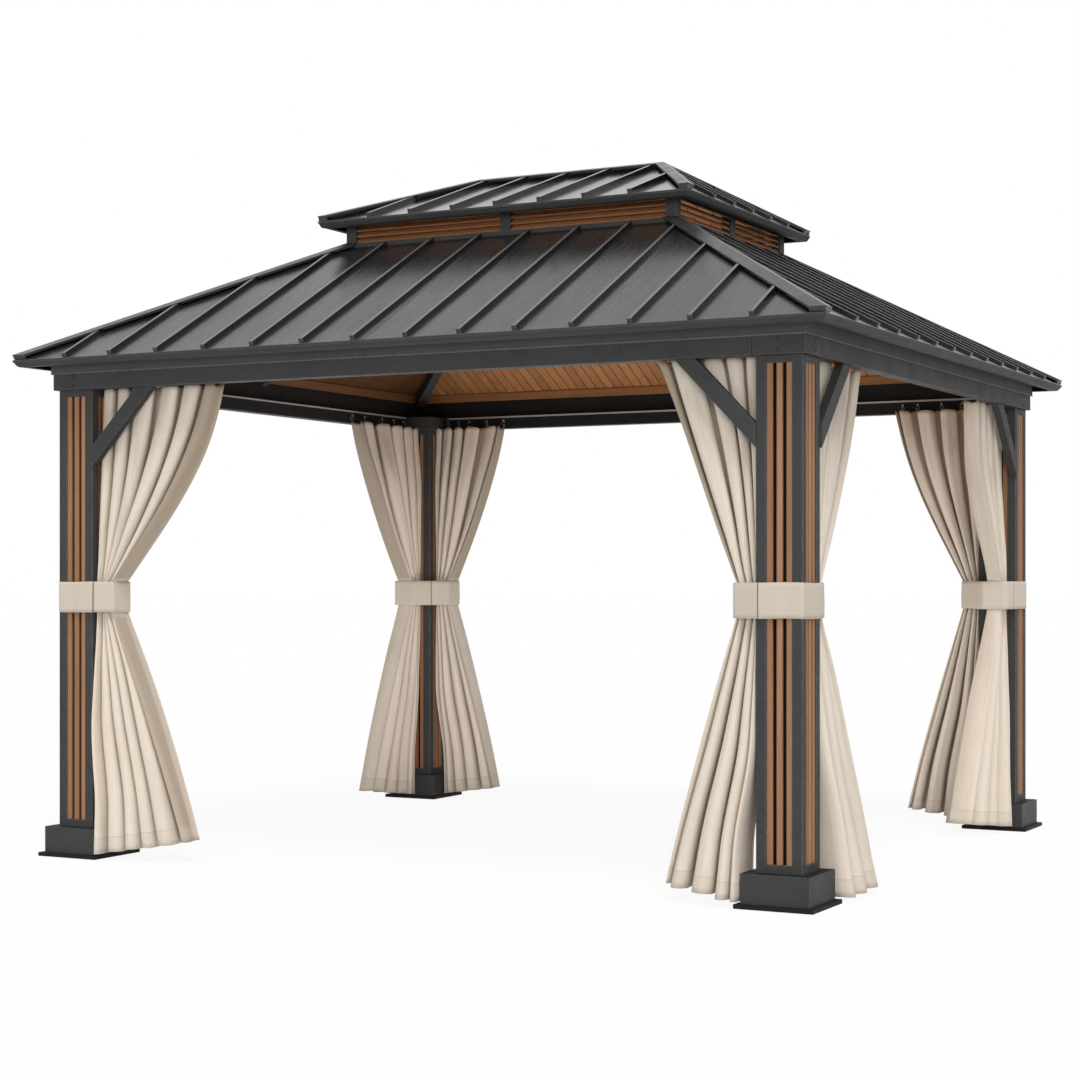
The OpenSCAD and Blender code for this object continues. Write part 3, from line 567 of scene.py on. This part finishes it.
def addHead(bm, kind, x, flat, z, face):
    # a low round head standing out of a face that looks along -Y before it is turned
    g = fixingForm
    radius, high = g[kind], g[kind + "High"]
    place = sideMatrix(face) @ Matrix.Translation((x, -flat - high / 2, z)) @ turned(90, "X")
    bmesh.ops.create_cone(bm, cap_ends=True, segments=g["sides"], radius1=radius, radius2=radius * g["taper"],
                          depth=high, matrix=place)


def makeFixings():
    g = fixingForm
    post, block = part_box("post_front_right"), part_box("corner_blocks")
    half = (post[1].x - post[0].x) / 2
    centre = (post[1].x - half, -post[0].y - half)
    bm = bmesh.new()
    for face in range(4):
        out, along = (-block[0].y, centre[0]) if face % 2 == 0 else (block[1].x, centre[1])
        flat = out - (block[1].x - post[1].x)
        for end in (-1, 1):
            for z in g["boltZ"]:
                addHead(bm, "washer", end * along, out, z, face)
                addHead(bm, "bolt", end * along, out, z, face)
            for x, z in g["screws"]:
                addHead(bm, "screw", end * along + x, flat, z, face)
            # dark strips painting the shade in the joints beside the rails
            for low, high in g["rails"]:
                for x in (-g["railEdge"], g["railEdge"]):
                    addBox(bm, (end * along + x - g["line"], -flat - g["lineProud"], low),
                           (end * along + x + g["line"], -flat + g["sunk"], high), sideMatrix(face))
    # dark strip that paints the shade in the joint of the frieze
    for face in (0, 2):
        addBox(bm, (g["friezeEnd"], -g["friezeFace"] - g["lineProud"], g["friezeZ"][0]),
               (g["friezeEnd"] + g["friezeLine"], -g["friezeFace"] + g["sunk"], g["friezeZ"][1]),
               sideMatrix(face))
    makePiece(bm, "frameFixings", [screwSteel])

    bm = bmesh.new()
    for face in (0, 2):
        addBox(bm, (-block[1].x - g["plateOver"], -g["friezeFace"] - g["friezePlate"], g["friezeZ"][0]),
               (g["friezeEnd"], -g["friezeFace"] + g["sunk"], g["friezeZ"][1]), sideMatrix(face))
    softenEdges(bm, g["plateEdge"], 1)
    makePiece(bm, "friezeJointPlates", [friezeCoat])


# roof sheets, caps and their small closures

roofForm = {
    "edge": 0.0011, "sheet": 0.003, "seamRise": 0.020, "plainEnd": 0.200, "seamTop": 0.012,
    "clipHalf": 0.0102, "clipRun": (0.0052, 0.0125), "clipEdge": 0.0008, "clipBite": 0.0005,
    "stripHalf": 0.0012, "stripZ": (0.002, 0.0243),
    "lap": (-0.113, -0.066), "lapTop": -0.088, "lapRun": (0.004, 1.158), "lapThick": 0.0014,
    "lapBite": 0.0004, "lapEdge": 0.0006, "near": 0.001,
}
roofTiers = [
    {"half": (1.840, 1.645), "high": 2.122, "pitch": (27.9, 27.9), "step": 0.240, "shift": 0.5,
     "hipRise": (0.02, 0.535)},
    {"half": (0.901, 0.706), "high": 2.7818, "pitch": (18.921, 29.315), "step": 0.212, "shift": 0.0,
     "hipRise": (0.02, 0.236)},
]

def slopeMatrix(tier, side):
    out, pitch = tier["half"][1 - side % 2], tier["pitch"][side % 2]
    eave = sideMatrix(side) @ Matrix.Translation((0.0, -out, tier["high"]))
    return eave @ turned(pitch, "X")


def makeClips():
    # a folded clip on the lower end of every seam
    r = roofForm
    bm = bmesh.new()
    for tier in roofTiers:
        for side in range(4):
            half, place = tier["half"][side % 2], slopeMatrix(tier, side)
            top = r["sheet"] + r["seamRise"] * math.cos(math.radians(tier["pitch"][side % 2]))
            count = math.ceil(half / tier["step"])
            for i in range(-count, count + 1):
                x = (i + tier["shift"]) * tier["step"]
                if abs(x) < half - r["plainEnd"]:
                    addBox(bm, (x - r["clipHalf"], r["clipRun"][0], r["sheet"] - r["clipBite"]),
                           (x + r["clipHalf"], r["clipRun"][1], top + r["clipBite"]), place)
    softenEdges(bm, r["clipEdge"], 1)
    makePiece(bm, "seamClips", [capPaint])


def makeStrips():
    # upright strips that close the space under the hip and ridge caps
    bm = bmesh.new()
    for tier in roofTiers:
        halfX, halfY = tier["half"]
        slopes = [math.tan(math.radians(p)) for p in tier["pitch"]]
        runs = []
        for sx, sy in ((1, 1), (1, -1), (-1, 1), (-1, -1)):
            runs.append([Vector((sx * (halfX - rise / slopes[1]), sy * (halfY - rise / slopes[0]),
                                 tier["high"] + rise)) for rise in tier["hipRise"]])
        if tier is roofTiers[1]:
            top = halfY * slopes[0]
            runs.append([Vector((s * (halfX - top / slopes[1]), 0.0, tier["high"] + top)) for s in (-1, 1)])
        for ends in runs:
            run = ends[1] - ends[0]
            side = Vector((-run.y, run.x, 0.0)).normalized() * roofForm["stripHalf"]
            low, high = (Vector((0.0, 0.0, h)) for h in roofForm["stripZ"])
            section = ((side, low), (-side, low), (-side, high), (side, high))
            rings = [[bm.verts.new(e + s + h) for s, h in section] for e in ends]
            for k in range(4):
                bm.faces.new([rings[0][k], rings[0][k - 1], rings[1][k - 1], rings[1][k]])
            bm.faces.new(rings[0])
            bm.faces.new(rings[1][::-1])
    bmesh.ops.recalc_face_normals(bm, faces=bm.faces[:])
    makePiece(bm, "hipStrips", [capPaint])


def makeLaps():
    # the sheets of the long slopes lap beside one seam
    r = roofForm
    bm = bmesh.new()
    for side in (0, 2):
        verts = addBox(bm, (r["lap"][0], r["lapRun"][0], r["sheet"] - r["lapBite"]),
                       (r["lap"][1], r["lapRun"][1], r["sheet"] + r["lapThick"]))
        for v in verts:
            if v.co.x > r["lap"][1] - r["near"] and v.co.y > r["lapRun"][1] - r["near"]:
                v.co.x = r["lapTop"]
        bmesh.ops.transform(bm, matrix=slopeMatrix(roofTiers[0], side), verts=verts)
    softenEdges(bm, r["lapEdge"], 1)
    makePiece(bm, "sheetLaps", [roofLong])


def markSeams(bm):
    # the tops of the standing seams, marked for a painted highlight
    wornAndLit = bm.faces.layers.float.new("edgeWearAndHighlight")
    bm.normal_update()
    sheet = max((f for f in bm.faces if f.normal.z > facing["sheet"]), key=lambda f: f.calc_area())
    out = sheet.normal.copy()
    level = out.dot(sheet.calc_center_median())
    for f in bm.faces:
        rise = out.dot(f.calc_center_median()) - level
        if f.normal.dot(out) > facing["seam"] and rise > roofForm["seamTop"]:
            f[wornAndLit] = 1.0


def makeRoof():
    for side in ("front", "back", "right", "left"):
        for node in (side + "_roof", "upper_" + side + "_roof"):
            bm = nodeCopy(node)
            markSeams(bm)
            softenEdges(bm, roofForm["edge"])
            paint = upperLong if node.startswith("upper_") else roofLong
            if side in ("right", "left"):
                paint = roofShort
            makePiece(bm, camelName(node), [paint], [node])
    for node in ("lower_hip_caps", "upper_hip_caps", "ridge_cap"):
        bm = nodeCopy(node)
        softenEdges(bm, roofForm["edge"])
        makePiece(bm, camelName(node), [capPaint], [node])


# slats and louvres

slatForm = {"edge": 0.0016, "seed": 4}
louvreForm = {"edge": 0.0014, "seed": 9}

def makeSlats():
    bm = nodeCopy("post_slats")
    toneSolids(bm, slatForm["seed"])
    softenEdges(bm, slatForm["edge"])
    makePiece(bm, "postSlats", [slatWood], ["post_slats"])

    bm = nodeCopy("louvre_slats")
    toneSolids(bm, louvreForm["seed"])
    for part in solidsOf(bm):
        points = [v.co for f in part for v in f.verts]
        runX = max(p.x for p in points) - min(p.x for p in points)
        runY = max(p.y for p in points) - min(p.y for p in points)
        for f in part:
            f.material_index = 0 if runX > runY else 1
    softenEdges(bm, louvreForm["edge"])
    makePiece(bm, "louvreSlats", [louvreWoodX, louvreWoodY], ["louvre_slats"])


makeFrame()
makeFixings()
makeRoof()
makeClips()
makeStrips()
makeLaps()
makeSlats()
print("frame, roof and slats rounded")

# boarded ceilings

boardForm = {"width": 0.0535, "groove": 0.0032, "depth": 0.004, "seed": 17,
             "edge": (1.4906, 1.6856), "edgeZ": (2.154, 2.1955), "edgeThick": (0.006, 0.011),
             "edgeCorner": 0.012, "edgeGap": 0.0004, "edgeRound": 0.001, "near": 0.001, "leastFace": 0.05}

def edgeBoards():
    # plain boards that close the ceiling against the inside of the frieze, in the board wood darkened with
    # painted shade
    b = boardForm
    bm = bmesh.new()
    for side in range(4):
        before = len(bm.faces)
        out, half = b["edge"][side % 2], b["edge"][1 - side % 2] - b["edgeCorner"]
        verts = addBox(bm, (-half, -out + b["edgeGap"], b["edgeZ"][0]),
                       (half, -out + b["edgeThick"][0], b["edgeZ"][1]))
        for v in verts:
            if v.co.y > -out + b["near"] and v.co.z > b["edgeZ"][1] - b["near"]:
                v.co.y = -out + b["edgeThick"][1]
        bmesh.ops.transform(bm, matrix=sideMatrix(side), verts=verts)
        for f in list(bm.faces)[before:]:
            f.material_index = side % 2
    toneSolids(bm, b["seed"])
    softenEdges(bm, b["edgeRound"], 1)
    makePiece(bm, "ceilingEdgeBoards", [shadedEdgeWoodX, shadedEdgeWoodY])


def boardCeiling(node, name):
    # the underside of each panel, cut into boards with grooves between them
    b, draw = boardForm, random.Random(boardForm["seed"])
    width = b["width"]
    whole, joined = nodeCopy(node), bmesh.new()
    for part in solidsOf(whole):
        bm = bmesh.new()
        places = {}
        for f in part:
            for v in f.verts:
                if v.index not in places:
                    places[v.index] = bm.verts.new(v.co)
            bm.faces.new([places[v.index] for v in f.verts])
        low = Vector([min(v.co[k] for v in bm.verts) for k in range(3)])
        high = Vector([max(v.co[k] for v in bm.verts) for k in range(3)])
        down = min(bm.faces, key=lambda f: f.normal.z if f.calc_area() > b["leastFace"] else 1.0)
        down.normal_update()
        axis = 0 if abs(down.normal.y) > abs(down.normal.x) else 1  # boards lie side by side along this axis
        out = down.normal.copy()
        cut = Vector((1.0, 0.0, 0.0)) if axis == 0 else Vector((0.0, 1.0, 0.0))
        at = width * math.ceil(low[axis] / width)
        while at < high[axis]:
            cutAcross(bm, cut * at, cut)
            at += width
        under = [f for f in bm.faces if f.normal.dot(out) > facing["board"]]
        bmesh.ops.inset_individual(bm, faces=under, thickness=b["groove"], depth=0.0)
        inner = {v for f in under for v in f.verts}
        rims = {v for f in bm.faces if f.normal.dot(out) > facing["board"] for v in f.verts} - inner
        bmesh.ops.translate(bm, verts=list(rims), vec=-out * b["depth"])
        bm.normal_update()
        # the groove walls take the dark wood that paints their shade
        for f in bm.faces:
            f.material_index = 1 - axis if f.normal.dot(out) > facing["board"] else 2
        marks = bm.faces.layers.float.new("tone")
        byBoard = {}
        for f in bm.faces:
            board = math.floor(f.calc_center_median()[axis] / width)
            if board not in byBoard:
                byBoard[board] = draw.random()
            f[marks] = byBoard[board]
        mesh = meshOf(bm, "boards")
        joined.from_mesh(mesh)
        bpy.data.meshes.remove(mesh)
    whole.free()
    makePiece(joined, name, [litBoardWoodX, boardWoodY, grooveShadeWood], [node])


boardCeiling("ceilings", "ceilingBoards")
boardCeiling("upper_ceilings", "upperCeilingBoards")
edgeBoards()
print("ceilings boarded")

# curtain tracks with an open slot underneath

trackForm = {"wall": 0.004, "slot": 0.012, "edge": 0.0008, "bareFrom": 0.011}

def makeTracks():
    bm = nodeCopy("curtain_tracks")
    under = [f for f in bm.faces if f.normal.z < -facing["trackUnder"]]
    bmesh.ops.inset_individual(bm, faces=under, thickness=trackForm["wall"], depth=0.0)
    bed = {v for f in under for v in f.verts}
    bmesh.ops.translate(bm, verts=list(bed), vec=(0.0, 0.0, trackForm["slot"]))
    softenEdges(bm, trackForm["edge"], 1)
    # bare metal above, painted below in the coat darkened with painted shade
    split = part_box("curtain_tracks")[0].z + trackForm["bareFrom"]
    cutAcross(bm, (0.0, 0.0, split), (0.0, 0.0, 1.0))
    for f in bm.faces:
        f.material_index = 0 if f.calc_center_median().z > split else 1
    makePiece(bm, "curtainTracks", [trackMetal, innerShadeCoat], ["curtain_tracks"])


makeTracks()

# curtains: folded sheets gathered at their ties

curtainForm = {
    "top": 2.010, "hem": 0.022, "thick": 0.0016,
    "perFold": 30, "upperRows": 44, "waistRows": 4, "lowerRows": 38,
    "waistReach": 0.090, "waistDepth": 0.104, "topDepth": 0.100, "hemDepth": 0.200, "postGap": 0.002,
    "waistMiddle": 0.039, "middle": 0.052, "topMiddle": 0.046, "middleRun": 0.6,
    "coverSwing": 0.045, "swingEnd": 0.187, "swingStart": 0.62, "hemBow": 0.2, "hemWave": 0.003,
    "scallop": 0.014, "scallopRun": 0.05,
    "roll": 2.3, "lead": 0.35, "drift": 0.5, "freeRun": 0.25, "wander": 0.05, "ripple": 0.01,
    "heading": 0.36, "headingFolds": 2.0, "headingDepth": 0.005, "headingCut": 0.2,
    "pucker": 0.003, "puckerRun": 0.08, "puckers": 2.7,
    "valleyShade": (0.4, 0.24), "stripShade": 0.72, "troughShade": 0.62, "lastDepth": 0.5,
}
tieLow, tieHigh = (p.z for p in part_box("tie_band_front_left"))
longFlat, shortFlat = (1.54, 2.02), (1.36, 2.02)
# folds are the columns' widths from the post to the free edge, swing is how far the hem stands out at both
curtains = [
    {"node": "curtain_front_left", "side": 0, "dir": -1, "seed": 3, "flat": longFlat,
     "top": 0.600, "hem": 0.490, "bow": 0.7, "rise": 0.070, "swing": (0.060, 0.020),
     "folds": (0.8, 0.85, 0.9, 1.0, 1.1, 0.6), "trough": True},
    {"node": "curtain_front_right", "side": 0, "dir": 1, "seed": 8, "flat": longFlat,
     "top": 0.420, "hem": 0.360, "bow": 0.0, "rise": 0.045, "swing": (0.075, 0.030),
     "folds": (0.45, 0.9, 1.2, 1.1, 0.4)},
    {"node": "curtain_back_left", "side": 2, "dir": 1, "seed": 12, "flat": longFlat,
     "top": 0.400, "hem": 0.340, "bow": 0.5, "rise": 0.040, "swing": (0.050, 0.040),
     "folds": (0.6, 0.7, 0.9, 1.3, 0.4)},
    {"node": "curtain_back_right", "side": 2, "dir": -1, "seed": 21, "flat": longFlat,
     "top": 0.430, "hem": 0.380, "bow": 0.5, "rise": 0.045, "swing": (0.050, 0.040),
     "folds": (0.7, 0.9, 1.1, 1.2, 0.4)},
    {"node": "curtain_left_front", "side": 3, "dir": 1, "seed": 27, "flat": shortFlat,
     "top": 0.500, "hem": 0.400, "bow": 0.5, "rise": 0.040, "swing": (0.050, 0.040),
     "folds": (0.9, 1.0, 1.1, 1.0, 0.5)},
    {"node": "curtain_right_front", "side": 1, "dir": -1, "seed": 31, "flat": shortFlat,
     "top": 0.620, "hem": 0.450, "bow": 0.6, "rise": 0.010, "swing": (0.090, 0.096),
     "folds": (0.7, 1.0, 1.2, 0.5), "strip": 0.15},
    {"node": "curtain_left_back", "side": 3, "dir": -1, "seed": 44, "flat": shortFlat,
     "top": 0.590, "hem": 0.420, "bow": 0.5, "rise": 0.050, "swing": (0.050, 0.040),
     "folds": (0.6, 0.7, 0.9, 1.4, 0.4)},
    {"node": "curtain_right_back", "side": 1, "dir": 1, "seed": 52, "flat": shortFlat,
     "top": 0.450, "hem": 0.400, "bow": 0.5, "rise": 0.040, "swing": (0.0, -0.075),
     "folds": (0.6, 0.8, 0.9, 1.0, 0.5), "middle": 0.062, "waist": 0.078, "strip": 0.3},
]

def ease(s):
    s = min(1.0, max(0.0, s))
    return s * s * (3 - 2 * s)


def belowTie(z):
    return max(0.0, (tieLow - z) / (tieLow - curtainForm["hem"]))


def bowed(s, bow):
    return (1 - bow) * s + bow * math.sin(math.pi / 2 * s)


def curtainReach(z, spec):
    c = curtainForm
    up = max(0.0, (z - tieHigh) / (c["top"] - tieHigh))
    wide = c["waistReach"] + (spec["top"] - c["waistReach"]) * bowed(up, spec["bow"])
    return wide + (spec["hem"] - c["waistReach"]) * bowed(belowTie(z), c["hemBow"])


def curtainDepth(z, spec):
    c = curtainForm
    waist = spec.get("waist", c["waistDepth"])
    middle = (tieLow + tieHigh) / 2
    if z > middle:
        return waist + (c["topDepth"] - waist) * ease(2 * (z - middle) / (c["top"] - middle))
    return waist + (c["hemDepth"] - waist) * belowTie(z)


def curtainEdge(z):
    c = curtainForm
    return c["coverSwing"] * ease((c["swingStart"] - z) / (c["swingStart"] - c["swingEnd"]))


def curtainRows():
    c = curtainForm
    rows = []
    for low, high, count in ((c["hem"], tieLow, c["lowerRows"]), (tieLow, tieHigh, c["waistRows"]),
                             (tieHigh, c["top"], c["upperRows"])):
        rows += [low + (high - low) * i / count for i in range(count)]
    return rows + [c["top"]]


hookSpots = []  # where the outer crests of the folds hang

def makeCurtain(spec, finish):
    c = curtainForm
    draw = random.Random(spec["seed"])
    phases = [draw.uniform(0, 2 * math.pi) for _ in range(4)]
    lift = draw.uniform(0, 50)
    folds, per = spec["folds"], c["perFold"]
    last = len(folds) - 1
    starts = [sum(folds[:n]) / sum(folds) for n in range(len(folds) + 1)]
    even = spec["side"] % 2 == 0
    lead = c["lead"] if spec["side"] < 2 else -c["lead"]  # the folds' broad sides face the photograph's view
    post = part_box("post_front_right")
    inner = (post[0].x if even else -post[1].y) - c["postGap"]
    beam = -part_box("front_beam")[1].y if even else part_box("right_beam")[0].x
    turn = sideMatrix(spec["side"])
    bm = bmesh.new()
    bm.loops.layers.uv.new("clothMap")
    shadow = bm.verts.layers.float.new("foldShade")
    width, length = spec["flat"]
    rows, columns = curtainRows(), per * len(folds)
    grid = []
    hollow = 1 if spec["side"] < 2 else -1  # the back and left curtains are looked at from inside
    for z in rows:
        reach, edge, depth = curtainReach(z, spec), curtainEdge(z), curtainDepth(z, spec)
        below = belowTie(z)
        fromTie = max(0.0, z - tieHigh, tieLow - z)
        free = ease(fromTie / c["freeRun"])
        gathered = ease(1 - (c["top"] - z) / c["heading"])
        upper = ease((z - tieHigh) / c["middleRun"])
        middle = c["waistMiddle"] + (spec.get("middle", c["middle"]) - c["waistMiddle"]) * upper
        middle += (c["topMiddle"] - middle) * gathered
        # the creases between two columns wander a little on their way down
        creases = starts[:]
        for n in range(1, len(folds)):
            creases[n] += c["drift"] / len(folds) * free * noise.noise((3.1 * n + lift, 0.9 * z, 11.0))
        line = []
        for i in range(columns + 1):
            n = min(i // per, last)
            k = i / per - n
            wide = creases[n + 1] - creases[n]
            stray = noise.noise((1.7 * n + lift, 1.4 * z, 0.0))
            p = 2 * math.pi * (k + c["wander"] * free * math.sin(math.pi * k) * stray)
            # each column is rounder than half a turn, so that it closes over the creases beside it
            roll = c["roll"] * math.sin(2 * p) / (4 * math.pi) - lead * math.sin(p) / (2 * math.pi)
            share = creases[n] + wide * k
            along = edge + (reach - edge) * (share + wide * roll)
            size = min(1.0, 0.88 + 0.3 * noise.noise((2.3 * n + lift, 0.8 * z, 7.0)))
            size *= 1 - c["headingCut"] * gathered
            if n == last:
                size *= 1 - c["lastDepth"] * below
            wave = 2 * math.pi * c["headingFolds"] * (n + k) + phases[0]
            small = gathered * math.cos(wave + 0.6 * math.sin(3 * n + phases[1]))
            swing = below * (spec["swing"][0] + (spec["swing"][1] - spec["swing"][0]) * share)
            across = middle - swing + 0.5 * depth * size * math.cos(p) + c["headingDepth"] * small
            ripple = c["ripple"] * free * noise.noise((7.0 * i / columns + lift, 1.6 * z, 4.0))
            waves = math.sin(c["puckers"] * 2 * math.pi * (n + k) + phases[2])
            pucker = c["pucker"] * math.exp(-fromTie / c["puckerRun"]) * waves
            height = z + spec["rise"] * share * below
            if z == rows[0]:
                height += c["hemWave"] * noise.noise((9.0 * i / columns, lift, 2.0))
            run = c["scallopRun"]
            if z > c["top"] - run:
                height -= c["scallop"] * (0.5 - 0.5 * math.cos(2 * p)) * (z - c["top"] + run) / run
            spot = Vector((spec["dir"] * (inner - along), -beam + across + ripple + pucker, height))
            line.append(bm.verts.new(turn @ spot))
            # shade in the hollows, and above the tie on the turned free edge
            tint = c["valleyShade"][hollow < 0] * (0.5 + 0.5 * hollow * math.cos(p)) ** 1.5
            if n == last and z > tieHigh:
                tint = max(tint, spec.get("strip", c["stripShade"]) * ease((k - 0.02) / 0.1))
            elif n == last and z < tieLow and "trough" in spec:
                tint = max(tint, c["troughShade"] * ease((k - 0.42) / 0.12) * ease((0.88 - k) / 0.08))
            line[-1][shadow] = tint
        grid.append(line)
    for n in range(len(folds)):
        crest = grid[-1][n * per + per // 2].co
        hookSpots.append((crest.copy(), spec["side"]))
    skinGrid(bm, grid, ((0, 0), (0, 1), (1, 1), (1, 0)), spec["dir"] > 0, lambda row, column: (
        column / columns * width, (rows[row] - c["hem"]) / (c["top"] - c["hem"]) * length))
    piece = makePiece(bm, camelName(spec["node"]), [finish], [spec["node"]], smooth=True)
    thicken(piece, c["thick"])


linenLight, linenShade = (0.80, 0.72, 0.622, 1.0), (0.71, 0.622, 0.52, 1.0)
hems = clothWeave["hem"], clothWeave["sideHem"]
longCloth = clothFinish("longCurtainCloth", linenLight, linenShade, longFlat[0], *hems)
shortCloth = clothFinish("shortCurtainCloth", linenLight, linenShade, shortFlat[0], *hems)
for spec in curtains:
    makeCurtain(spec, longCloth if spec["side"] % 2 == 0 else shortCloth)
print("curtains hung")

# hooks: a glider in the slot of the track, a ring and a pin through the heading

hookForm = {"ring": 0.0095, "wire": 0.0014, "sides": (6, 14), "turns": (-28, 38), "pin": 0.0012,
            "pinLow": 1.998, "railIn": 0.008, "glider": (0.004, 0.0045), "gliderZ": (2.036, 2.052)}

def ringMesh():
    h = hookForm
    bm = bmesh.new()
    place = Matrix.Translation((h["ring"], 0.0, 0.0)) @ turned(90, "X")
    bmesh.ops.create_circle(bm, cap_ends=False, segments=h["sides"][0], radius=h["wire"], matrix=place)
    bmesh.ops.spin(bm, geom=bm.verts[:] + bm.edges[:], cent=(0, 0, 0), axis=(0, 0, 1), angle=2 * math.pi,
                   steps=h["sides"][1], use_merge=True, use_duplicate=False)
    bmesh.ops.remove_doubles(bm, verts=bm.verts, dist=meshForm["flat"])
    bmesh.ops.recalc_face_normals(bm, faces=bm.faces)
    return meshOf(bm, "hookRing")


def makeHooks():
    h = hookForm
    ring = ringMesh()
    bm = bmesh.new()
    for n, (crest, side) in enumerate(hookSpots):
        here = sideMatrix(side).inverted() @ crest
        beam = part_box("front_beam")[1].y if side % 2 == 0 else -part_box("right_beam")[0].x
        rail = beam + h["railIn"]
        addBox(bm, (here.x - h["glider"][0], rail - h["glider"][1], h["gliderZ"][0]),
               (here.x + h["glider"][0], rail + h["glider"][1], h["gliderZ"][1]), sideMatrix(side))
        middle = h["gliderZ"][0] - h["ring"] + h["wire"]
        before = len(bm.verts)
        bm.from_mesh(ring)
        bm.verts.ensure_lookup_table()
        turn = turned(h["turns"][n % 2], "Z") @ turned(90, "X")
        place = sideMatrix(side) @ Matrix.Translation((here.x, (rail + here.y) / 2, middle)) @ turn
        bmesh.ops.transform(bm, matrix=place, verts=bm.verts[before:])
        addBox(bm, (here.x - h["pin"], here.y - h["pin"], h["pinLow"]),
               (here.x + h["pin"], here.y + h["pin"], middle - h["ring"] + 2 * h["wire"]), sideMatrix(side))
    bpy.data.meshes.remove(ring)
    makePiece(bm, "curtainHooks", [hookSteel])


makeHooks()
print(len(hookSpots), "hooks set")

# tie bands: a flat strip round the post and its two gathered curtains, lapped over its own end

bandForm = {"thick": 0.0022, "stand": 0.0026, "lap": 0.075, "lapLift": 0.0052, "lapSteps": (6, 8),
            "round": 0.005, "roundSteps": 6, "step": 0.006, "rows": 8, "bow": 0.0016, "dip": 0.0012,
            "sway": 0.0022, "sideHem": 0.0045,
            "post": 0.180, "waistGap": 0.004, "middle": 0.077, "half": 0.056}
bands = [
    {"node": "tie_band_front_left", "sx": -1, "sy": -1, "start": 0.112, "seed": 5},
    {"node": "tie_band_front_right", "sx": 1, "sy": -1, "start": 0.098, "seed": 6},
    {"node": "tie_band_back_left", "sx": -1, "sy": 1, "start": 0.415, "seed": 7},
    {"node": "tie_band_back_right", "sx": 1, "sy": 1, "start": -0.288, "seed": 8},
]

def bandPath():
    # plan outline from the outer corner of the post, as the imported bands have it
    b = bandForm
    post, far = b["post"], b["post"] + (curtainForm["waistReach"] + b["waistGap"])
    near, wide = b["middle"] - b["half"], b["middle"] + b["half"]
    plan = ((0, 0), (post, 0), (far, near), (far, wide), (wide, far), (near, far), (0, post))
    corners = [Vector(p) for p in plan]
    pts = []
    for i, here in enumerate(corners):
        before, after = corners[i - 1], corners[(i + 1) % len(corners)]
        inward, outward = (before - here).normalized(), (after - here).normalized()
        reach = min(b["round"], 0.3 * (before - here).length, 0.3 * (after - here).length)
        first, last = here + inward * reach, here + outward * reach
        for k in range(b["roundSteps"] + 1):
            t = k / b["roundSteps"]
            pts.append((1 - t) ** 2 * first + 2 * t * (1 - t) * here + t * t * last)
    return pts


def spacedLoop(pts, step):
    closed = pts + [pts[0]]
    total = sum((b - a).length for a, b in zip(closed, closed[1:]))
    count = round(total / step)
    out, gone, i = [], 0.0, 0
    for k in range(count):
        want = total * k / count
        while gone + (closed[i + 1] - closed[i]).length < want:
            gone += (closed[i + 1] - closed[i]).length
            i += 1
        a, b = closed[i], closed[i + 1]
        out.append(a.lerp(b, (want - gone) / max(1e-9, (b - a).length)))
    return out, total


def bandRun():
    loop, total = spacedLoop(bandPath(), bandForm["step"])
    steps = len(loop) + round(bandForm["lap"] / total * len(loop))
    return loop, total, steps, total * steps / len(loop)


def makeBand(spec, finish):
    b = bandForm
    loop, total, steps, length = bandRun()
    count = len(loop)
    first = round(spec["start"] / total * count) % count
    lowZ, highZ = (p.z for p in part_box(spec["node"]))
    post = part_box("post_front_left")
    bm = bmesh.new()
    bm.loops.layers.uv.new("clothMap")
    tall = highZ - lowZ
    grid = []
    for k in range(steps + 1):
        i = (first + k) % count
        here, before, after = loop[i], loop[i - 1], loop[(i + 1) % count]
        along = (after - before).normalized()
        out = Vector((along.y, -along.x))
        lift = b["stand"] + b["lapLift"] * ease((k - count + b["lapSteps"][0]) / b["lapSteps"][1])
        line = []
        for j in range(b["rows"] + 1):
            t = j / b["rows"]
            belly = 0.6 * (1 - (2 * t - 1) ** 2)
            bow = b["bow"] * (noise.noise((0.05 * k + spec["seed"], 1.7 * t, 0.0)) + belly)
            spot = here + out * (lift + max(-b["dip"], bow * 0.7))
            z = lowZ + tall * t + b["sway"] * noise.noise((0.035 * k, spec["seed"], 0.0))
            x, y = spec["sx"] * (-post[0].x - spot.x), spec["sy"] * (-post[0].y - spot.y)
            line.append(bm.verts.new((x, y, z)))
        grid.append(line)
    flip = spec["sx"] * spec["sy"] < 0
    skinGrid(bm, grid, ((0, 0), (1, 0), (1, 1), (0, 1)), flip,
             lambda step, row: (step / steps * length, row / b["rows"] * tall))
    piece = makePiece(bm, camelName(spec["node"]), [finish], [spec["node"]], smooth=True)
    thicken(piece, b["thick"])


# the band's dark ends paint the shadow that the lapped end casts
bandCloth = clothFinish("bandCloth", (0.64, 0.57, 0.478, 1.0), (0.575, 0.5, 0.414, 1.0), bandRun()[3],
                        sideHem=bandForm["sideHem"], creases=0.0, edgeTint=(0.35, 0.85))
for spec in bands:
    makeBand(spec, bandCloth)
print("tie bands fastened")
